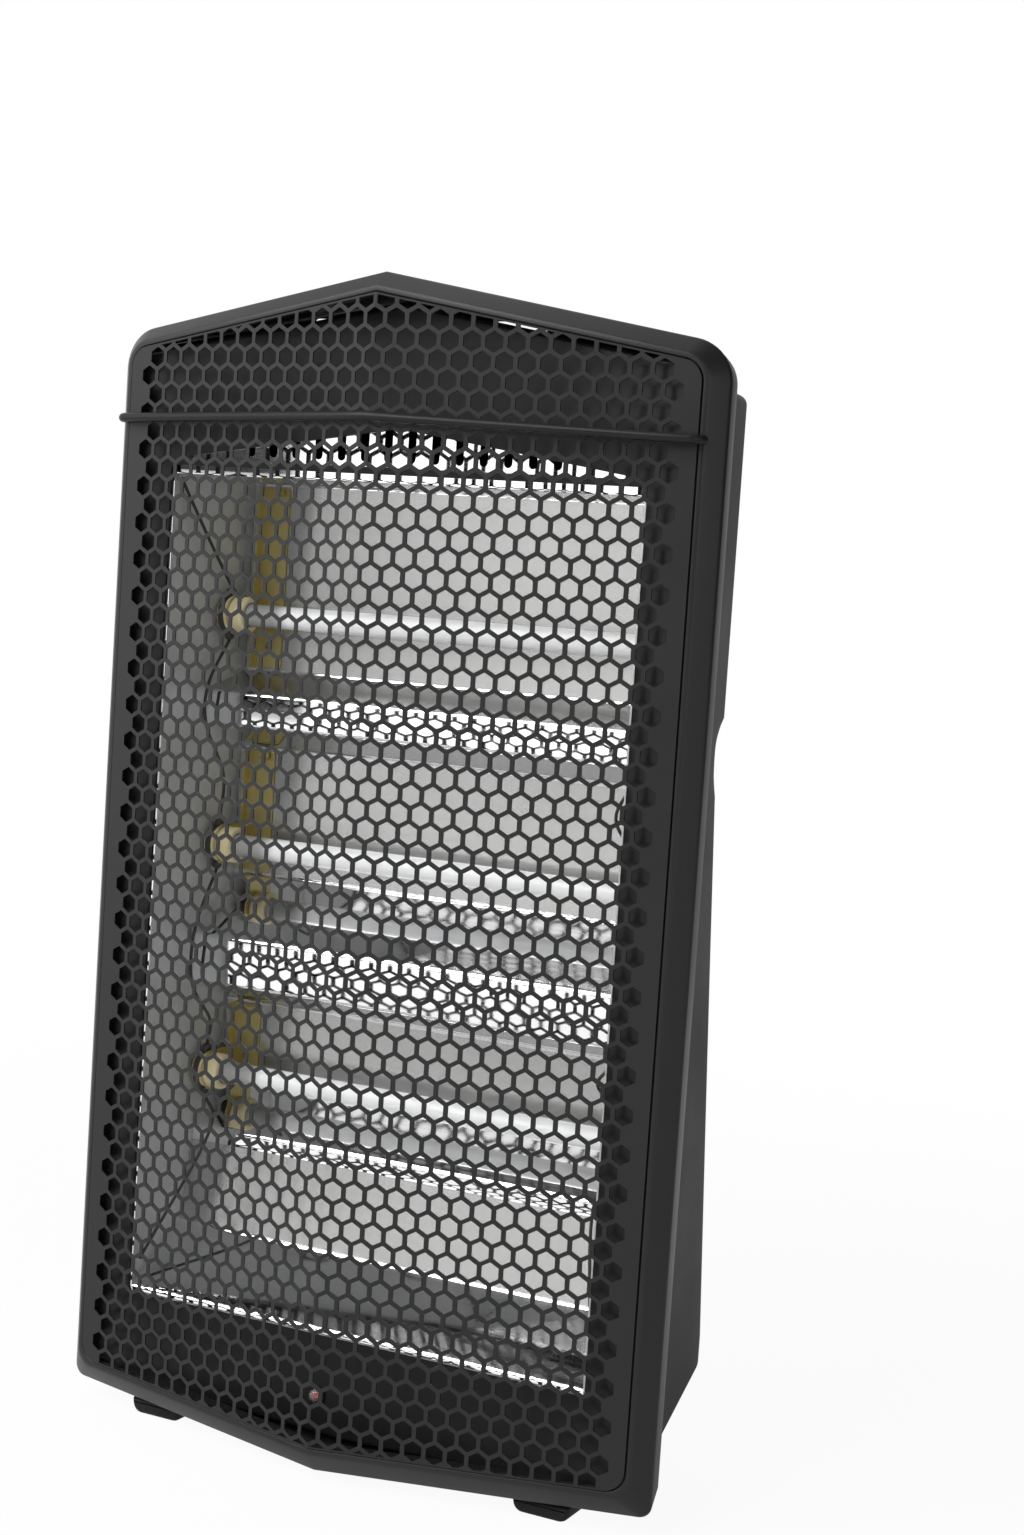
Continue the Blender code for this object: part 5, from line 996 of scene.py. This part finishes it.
# Indicator lamp. AXIS_RADIUS keeps the ends of a turned piece from closing to a point.
LAMP_FACE = 30.84
AXIS_RADIUS = 0.01


def make_lamp():
    """A clear domed lens in a black bezel ring, over a red base."""
    face, place = LAMP_FACE, backward(LAMP_X, LAMP_HEIGHT)
    lens = rounded_loop([(AXIS_RADIUS, face - 4.6, 0), (3.4, face - 4.4, 3.0), (3.5, face - 0.2, 0),
                         (3.0, face - 0.2, 0), (2.9, face - 3.6, 2.2), (AXIS_RADIUS, face - 3.9, 0)], 8)
    base = rounded_loop([(AXIS_RADIUS, face - 2.0, 0), (2.5, face - 2.0, 0.8), (2.6, face + 11.5, 0),
                         (AXIS_RADIUS, face + 11.5, 0)])
    ring = rounded_loop([(3.55, face, 0), (3.55, face - 1.1, 0.3), (4.7, face - 0.9, 0.5),
                         (4.7, face, 0)])
    add_form("lamp_lens", turned(lens, 40, place), 40, LENS, "lens", "indicator_lamp")
    add_form("lamp_base", turned(base, 32, place), 40, RED, "lens")
    add_form("lamp_ring", turned(ring, 40, place, closed=True), 40, MOULDING, "black_moulding")


# Rear housing
ROOF_HEIGHT = 548.0
ROOF_EDGE = 5.0
HOUSING_WALL = 2.2
HOUSING_FRONT_HALF = 161.0
HOUSING_BACK_HALF = 148.3
HOUSING_CORNER = 25.0
UPPER_DEPTH = 119.5
WAIST_TOP = 389.0
WAIST_BOTTOM = 353.0
WAIST_DEPTH = 109.5
LOWER_TOP_DEPTH = 114.0
LOWER_BOTTOM_HEIGHT = 72.0
FLANGE_FRONT = 51.8
FLANGE_INSET = 6.9
FOOT_X = 113.0
KNOB_X = 106.0
KNOB_DEPTH = 86.0
TIP_DEPTH = 124.0
GLAND_X = -62.0
GLAND_HEIGHT = 90.0
SLOT_X = 48.0
SLOT_STEP = 12
# Height of the lowest slot and number of slots in each bank.
SLOT_BANKS = ((412, 6), (112, 4))


def underside(depth):
    """Height of the housing's sloped underside at a depth."""
    return 36.5 + 0.27 * (depth - FRAME_BACK)


def lower_wall(height):
    """Depth of the lower back wall, which leans out towards its bottom."""
    share = (WAIST_BOTTOM - height) / (WAIST_BOTTOM - LOWER_BOTTOM_HEIGHT)
    return LOWER_TOP_DEPTH + share * (REAR_DEPTH - LOWER_TOP_DEPTH)


def back_profile(inset):
    """(height, depth, extra inset) of the housing's rings from its underside up to the roof."""
    levels = [(height, lower_wall(height), 0) for height in (LOWER_BOTTOM_HEIGHT, 180, 270)]
    waist = ((352, lower_wall(352)), (359, WAIST_DEPTH + 1.6), (366, WAIST_DEPTH),
             (378, WAIST_DEPTH), (386, WAIST_DEPTH + 4.5), (391, UPPER_DEPTH))
    for height, depth in smooth_route([Vector(point) for point in waist], 4):
        levels.append((height, min(depth, UPPER_DEPTH), 0))
    levels.append((470, UPPER_DEPTH, 0))
    for sine, rise in quarter(6):
        levels.append((ROOF_HEIGHT - inset - ROOF_EDGE * (1 - sine), UPPER_DEPTH, ROOF_EDGE * rise))
    return levels


def housing_plan(inset, depth, front):
    """The housing's plan at one level, round at its back corners."""
    half_front, half_back = HOUSING_FRONT_HALF - inset, HOUSING_BACK_HALF - inset
    back, radius = depth - inset, HOUSING_CORNER - inset
    return rounded_loop([(-half_front, front, 0), (half_front, front, 0),
                         (half_back, back, radius), (-half_back, back, radius)], 12)


def housing_form(inset, front):
    """The housing's outer form, or its hollow when drawn in by the wall."""
    rings = [[at(x, depth, underside(depth) + inset)
              for x, depth in housing_plan(inset, REAR_DEPTH, front)]]
    for height, depth, shrink in back_profile(inset):
        rings.append([at(*point, height) for point in housing_plan(inset + shrink, depth, front)])
    return loft(rings)


def along_depth(x, height, depth):
    return at(x, depth, height)


def housing_openings():
    """The rear air slots with round ends, the exhaust slot and the round holes."""
    openings = bmesh.new()
    for low, rows in SLOT_BANKS:
        for row in range(rows):
            level = low + row * SLOT_STEP
            depth = UPPER_DEPTH if level > WAIST_TOP else lower_wall(level)
            for x in (-SLOT_X, SLOT_X):
                slot = rounded_box(x, level, 31, 2.5, 2.4, 5)
                add_shape(openings, prism(slot, along_depth, (depth - 6.2, depth + 4)))
    add_shape(openings, prism(rounded_box(0, 569, 66, 7, 2.5, 5), along_depth, (47, 58)))
    for radius, level, place in ((5.3, ROOF_HEIGHT, upright(KNOB_X, KNOB_DEPTH)),
                                 (4.3, underside(TIP_DEPTH), upright(FOOT_X, TIP_DEPTH))):
        add_shape(openings, turned([(radius, level - 6), (radius, level + 6)], 32, place))
    wall = lower_wall(GLAND_HEIGHT)
    add_shape(openings, turned([(7.3, wall - 6), (7.3, wall + 5)], 32, backward(GLAND_X, GLAND_HEIGHT)))
    return openings


def make_housing():
    """The moulded rear shell: a waisted back, a round-edged roof, a front flange and air slots."""
    flange = prism(front_outline(FLANGE_INSET, FLANGE_INSET), along_depth,
                   (FLANGE_FRONT, FRAME_BACK - SEAT_GAP))
    mesh = cut_mesh("rear_shell", flange, ("UNION", housing_form(0, FLANGE_FRONT + 1.1)),
                    ("DIFFERENCE", housing_form(HOUSING_WALL, FLANGE_FRONT - 4)),
                    ("DIFFERENCE", housing_openings()))
    add_form("rear_shell", mesh, 24, MOULDING, "black_moulding", "rear_housing")


# Feet
FOOT_FRONT_WIDTH = 31
FOOT_WIDTH = 29
FOOT_TAB_HEIGHT = 8.2
SCREW_DEPTHS = ((72, "front"), (104, "rear"))
SCREW_SEAT = 6.0
# Depth, height of the underside and drawing-in of the tab's sections and of those behind it.
TAB_SECTIONS = ((33.0, 2.2, 1.6), (33.5, 1.1, 0.8), (34.4, 0.3, 0.2), (35.6, 0, 0), (54.3, 0, 0))
BEAM_SECTIONS = ((55.3, 0, 0), (80, 0, 0), (112, 0, 0), (143.4, 0, 0), (144.8, 0.4, 0.3),
                 (146.0, 2.0, 1.8))


def make_foot(side, word):
    """A foot with rounded edges that shows as a tab under the frame and runs back to the rear."""
    def section(width, depth, bottom, top, shrink):
        half_top, half_low = width / 2 - shrink, FOOT_WIDTH / 2 - shrink
        plan = rounded_loop([(-half_low, bottom, 5), (half_low, bottom, 5),
                             (half_top, top - shrink, 0.8), (-half_top, top - shrink, 0.8)], 6)
        return [at(side * FOOT_X + x, depth, z) for x, z in plan]

    rings = [section(FOOT_FRONT_WIDTH, depth, bottom, FOOT_TAB_HEIGHT, shrink)
             for depth, bottom, shrink in TAB_SECTIONS]
    rings += [section(FOOT_WIDTH, depth, bottom, underside(depth) - SEAT_GAP, shrink)
              for depth, bottom, shrink in BEAM_SECTIONS]
    bores = bmesh.new()
    for depth, spot in SCREW_DEPTHS:
        level = underside(depth) - SCREW_SEAT
        profile = [(3.3, -4), (3.3, level), (1.8, level), (1.8, level + 12)]
        add_shape(bores, turned(profile, 32, upright(side * FOOT_X, depth)))
    if side > 0:
        add_shape(bores, turned([(4.3, -4), (4.3, 66)], 32, upright(FOOT_X, TIP_DEPTH)))
    name = "moulded_foot_" + word
    add_form(name, cut_mesh(name, loft(rings), ("DIFFERENCE", bores)), 28, MOULDING,
             "black_moulding", "foot_" + word)


# Screws
SCREW_PROFILE = ((0.05, -2.4, 0), (3.0, -2.2, 1.5), (3.0, 0, 0.2), (1.5, 0, 0), (1.5, 7.0, 0.3),
                 (0.05, 7.0, 0))
CROSS_ARM = 1.7
CROSS_HALF = 0.35
FLANGE_SCREW_X = 104
FLANGE_SCREW_DROP = 18.2


def make_screw(name, node, place, shank_way):
    """A pan-head screw with a cross recess. shank_way is the direction of its shank."""
    side_way = Vector((1, 0, 0))
    other_way = shank_way.cross(side_way)

    def point(u, v, along):
        return place + (side_way * u + other_way * v + shank_way * along) * MM

    arm, half = CROSS_ARM, CROSS_HALF
    cross = [(-arm, -half), (-half, -half), (-half, -arm), (half, -arm), (half, -half), (arm, -half),
             (arm, half), (half, half), (half, arm), (-half, arm), (-half, half), (-arm, half)]
    screw = turned(rounded_loop(SCREW_PROFILE, 5), 32, point)
    mesh = cut_mesh(name, screw, ("DIFFERENCE", prism(cross, point, (-3, -1.1))))
    add_form(name, mesh, 35, ZINC, "steel", node)


def make_screws(side, word):
    for depth, spot in SCREW_DEPTHS:
        seat = underside(depth) - SCREW_SEAT - SEAT_GAP
        make_screw(f"cross_screw_{word}_{spot}", f"foot_screw_{word}_{spot}",
                   at(side * FOOT_X, depth, seat), Vector((0, 0, 1)))
    height = PEAK_HEIGHT - FLANGE_SCREW_X * math.tan(GABLE_ANGLE) - FLANGE_SCREW_DROP
    make_screw("cross_screw_flange_" + word, "flange_screw_" + word,
               at(side * FLANGE_SCREW_X, FRAME_BACK, height), Vector((0, -1, 0)))


# Carry handle
HANDLE_HALF = 52.0
HANDLE_OUTER_RISE = 30.5
HANDLE_INNER_RISE = 22.5
HANDLE_DEPTH = 86.0
HANDLE_HALF_DEPTH = 10.0
HANDLE_FOOT = 17.0
HANDLE_THINNING = 9.0
HANDLE_SQUARENESS = 0.55
HANDLE_STEPS = 40


def make_handle():
    """A bow handle with rounded edges and a softly swollen grip."""
    base = ROOF_HEIGHT + SEAT_GAP
    rings = []
    for step in range(HANDLE_STEPS + 1):
        turn = math.pi * step / HANDLE_STEPS
        flat = math.copysign(abs(math.cos(turn)) ** HANDLE_SQUARENESS, math.cos(turn))
        rise = abs(math.sin(turn)) ** HANDLE_SQUARENESS
        thickness = HANDLE_FOOT - HANDLE_THINNING * rise
        outer = Vector((HANDLE_HALF * flat, base + HANDLE_OUTER_RISE * rise))
        inner = Vector(((HANDLE_HALF - thickness) * flat, base + HANDLE_INNER_RISE * rise))
        middle, spread = (outer + inner) / 2, (outer - inner) / 2
        if step in (0, HANDLE_STEPS):
            spread = Vector((math.copysign(thickness / 2, flat), 0))
            middle = Vector((math.copysign(HANDLE_HALF - thickness / 2, flat), base))
        ring = []
        for u, v in rounded_box(0, 0, 1, 1, 0.42, 5):
            place = middle + spread * v
            ring.append(at(place.x, HANDLE_DEPTH + HANDLE_HALF_DEPTH * u, place.y))
        rings.append(ring)
    add_form("bow_handle", loft(rings), 40, MOULDING, "black_moulding", "carry_handle")


# Heat control
KNOB_LOW = ROOF_HEIGHT + 1.6
KNOB_TOP = ROOF_HEIGHT + 16.6
KNOB_SIDES = 144
KNOB_FLUTES = 12
# Radius, height and flute depth of the knob's rings.
KNOB_RINGS = ((3.3, KNOB_TOP - 3, 0), (3.3, KNOB_LOW, 0), (19.4, KNOB_LOW, 0), (20, KNOB_LOW + 0.5, 0),
              (20, KNOB_LOW + 2.3, 0), (19.4, KNOB_LOW + 3, 0), (18.4, KNOB_LOW + 3.1, 0.5),
              (18, KNOB_LOW + 3.6, 0.9), (18, KNOB_TOP - 1.8, 0.9), (17.7, KNOB_TOP - 0.9, 0.8),
              (17.1, KNOB_TOP - 0.3, 0.5), (16.2, KNOB_TOP, 0))
# Inset and height of the grip bar's rings.
GRIP_RINGS = ((0, KNOB_TOP - 1.0), (0, KNOB_TOP + 3.0), (0.25, KNOB_TOP + 3.6), (0.9, KNOB_TOP + 4.0))
GRIP_HALF = 3.5
GRIP_REACH = 14.9
GRIP_CORNER = 1.75
DOT_RADII = (0.9, 0.8, 1.15, 1.5)
DOT_DISTANCE = 24.0


def make_knob():
    """A fluted knob with a grip bar and a white pointer line, on the control's axis."""
    place = upright(KNOB_X, KNOB_DEPTH)
    rings = []
    for radius, level, flute in KNOB_RINGS:
        ring = []
        for step in range(KNOB_SIDES):
            turn = 2 * math.pi * step / KNOB_SIDES
            reach = radius - flute * (1 - math.cos(KNOB_FLUTES * turn)) / 2
            ring.append(place(reach * math.cos(turn), reach * math.sin(turn), level))
        rings.append(ring)
    grip = loft([[place(*point, level) for point in rounded_box(
        0, 0, GRIP_HALF - inset, GRIP_REACH - inset, GRIP_CORNER - inset, 6)]
        for inset, level in GRIP_RINGS])
    add_form("heat_knob", cut_mesh("heat_knob", loft(rings), ("UNION", grip)), 35, MOULDING,
             "black_moulding", "control_knob", body="control")
    line = prism(rounded_box(0, -8.8, 0.5, 4.8, 0.4, 3), place, (KNOB_TOP + 3.9, KNOB_TOP + 4.02))
    add_form("knob_pointer", line, None, DIAL_WHITE, "black_moulding", body="control")


def make_dial():
    """Four raised dots on the roof round the knob: off, and three heats that grow in size."""
    dots = bmesh.new()
    for index, radius in enumerate(DOT_RADII):
        turn = math.radians(-90 - 45 * index)
        profile = [(radius, ROOF_HEIGHT - 0.05), (radius, ROOF_HEIGHT + 0.15),
                   (radius * 0.8, ROOF_HEIGHT + 0.25)]
        add_shape(dots, turned(profile, 24, upright(KNOB_X + DOT_DISTANCE * math.cos(turn),
                                                    KNOB_DEPTH + DOT_DISTANCE * math.sin(turn))))
    add_form("dial_dots", dots, 40, DIAL_WHITE, "black_moulding")


make_camera()
make_studio()
make_floor()
dress_nodes()
make_guard()
make_guard_rod()
make_front_frame()
make_panel()
make_reflector()
make_vent_flange()
for side, word in SIDES:
    make_guard_seat(side, word)
    make_reflector_end(side, word)
    make_leads(side, word)
    make_foot(side, word)
    make_screws(side, word)
for index, height in enumerate(ELEMENT_HEIGHTS, 1):
    make_tube(index, height)
    make_winding(index, height)
    for side, word in SIDES:
        make_cap(index, height, side, word)
        make_clip(index, height, side, word)
        make_strap(index, height, side, word)
make_lamp()
make_housing()
make_handle()
make_knob()
make_dial()
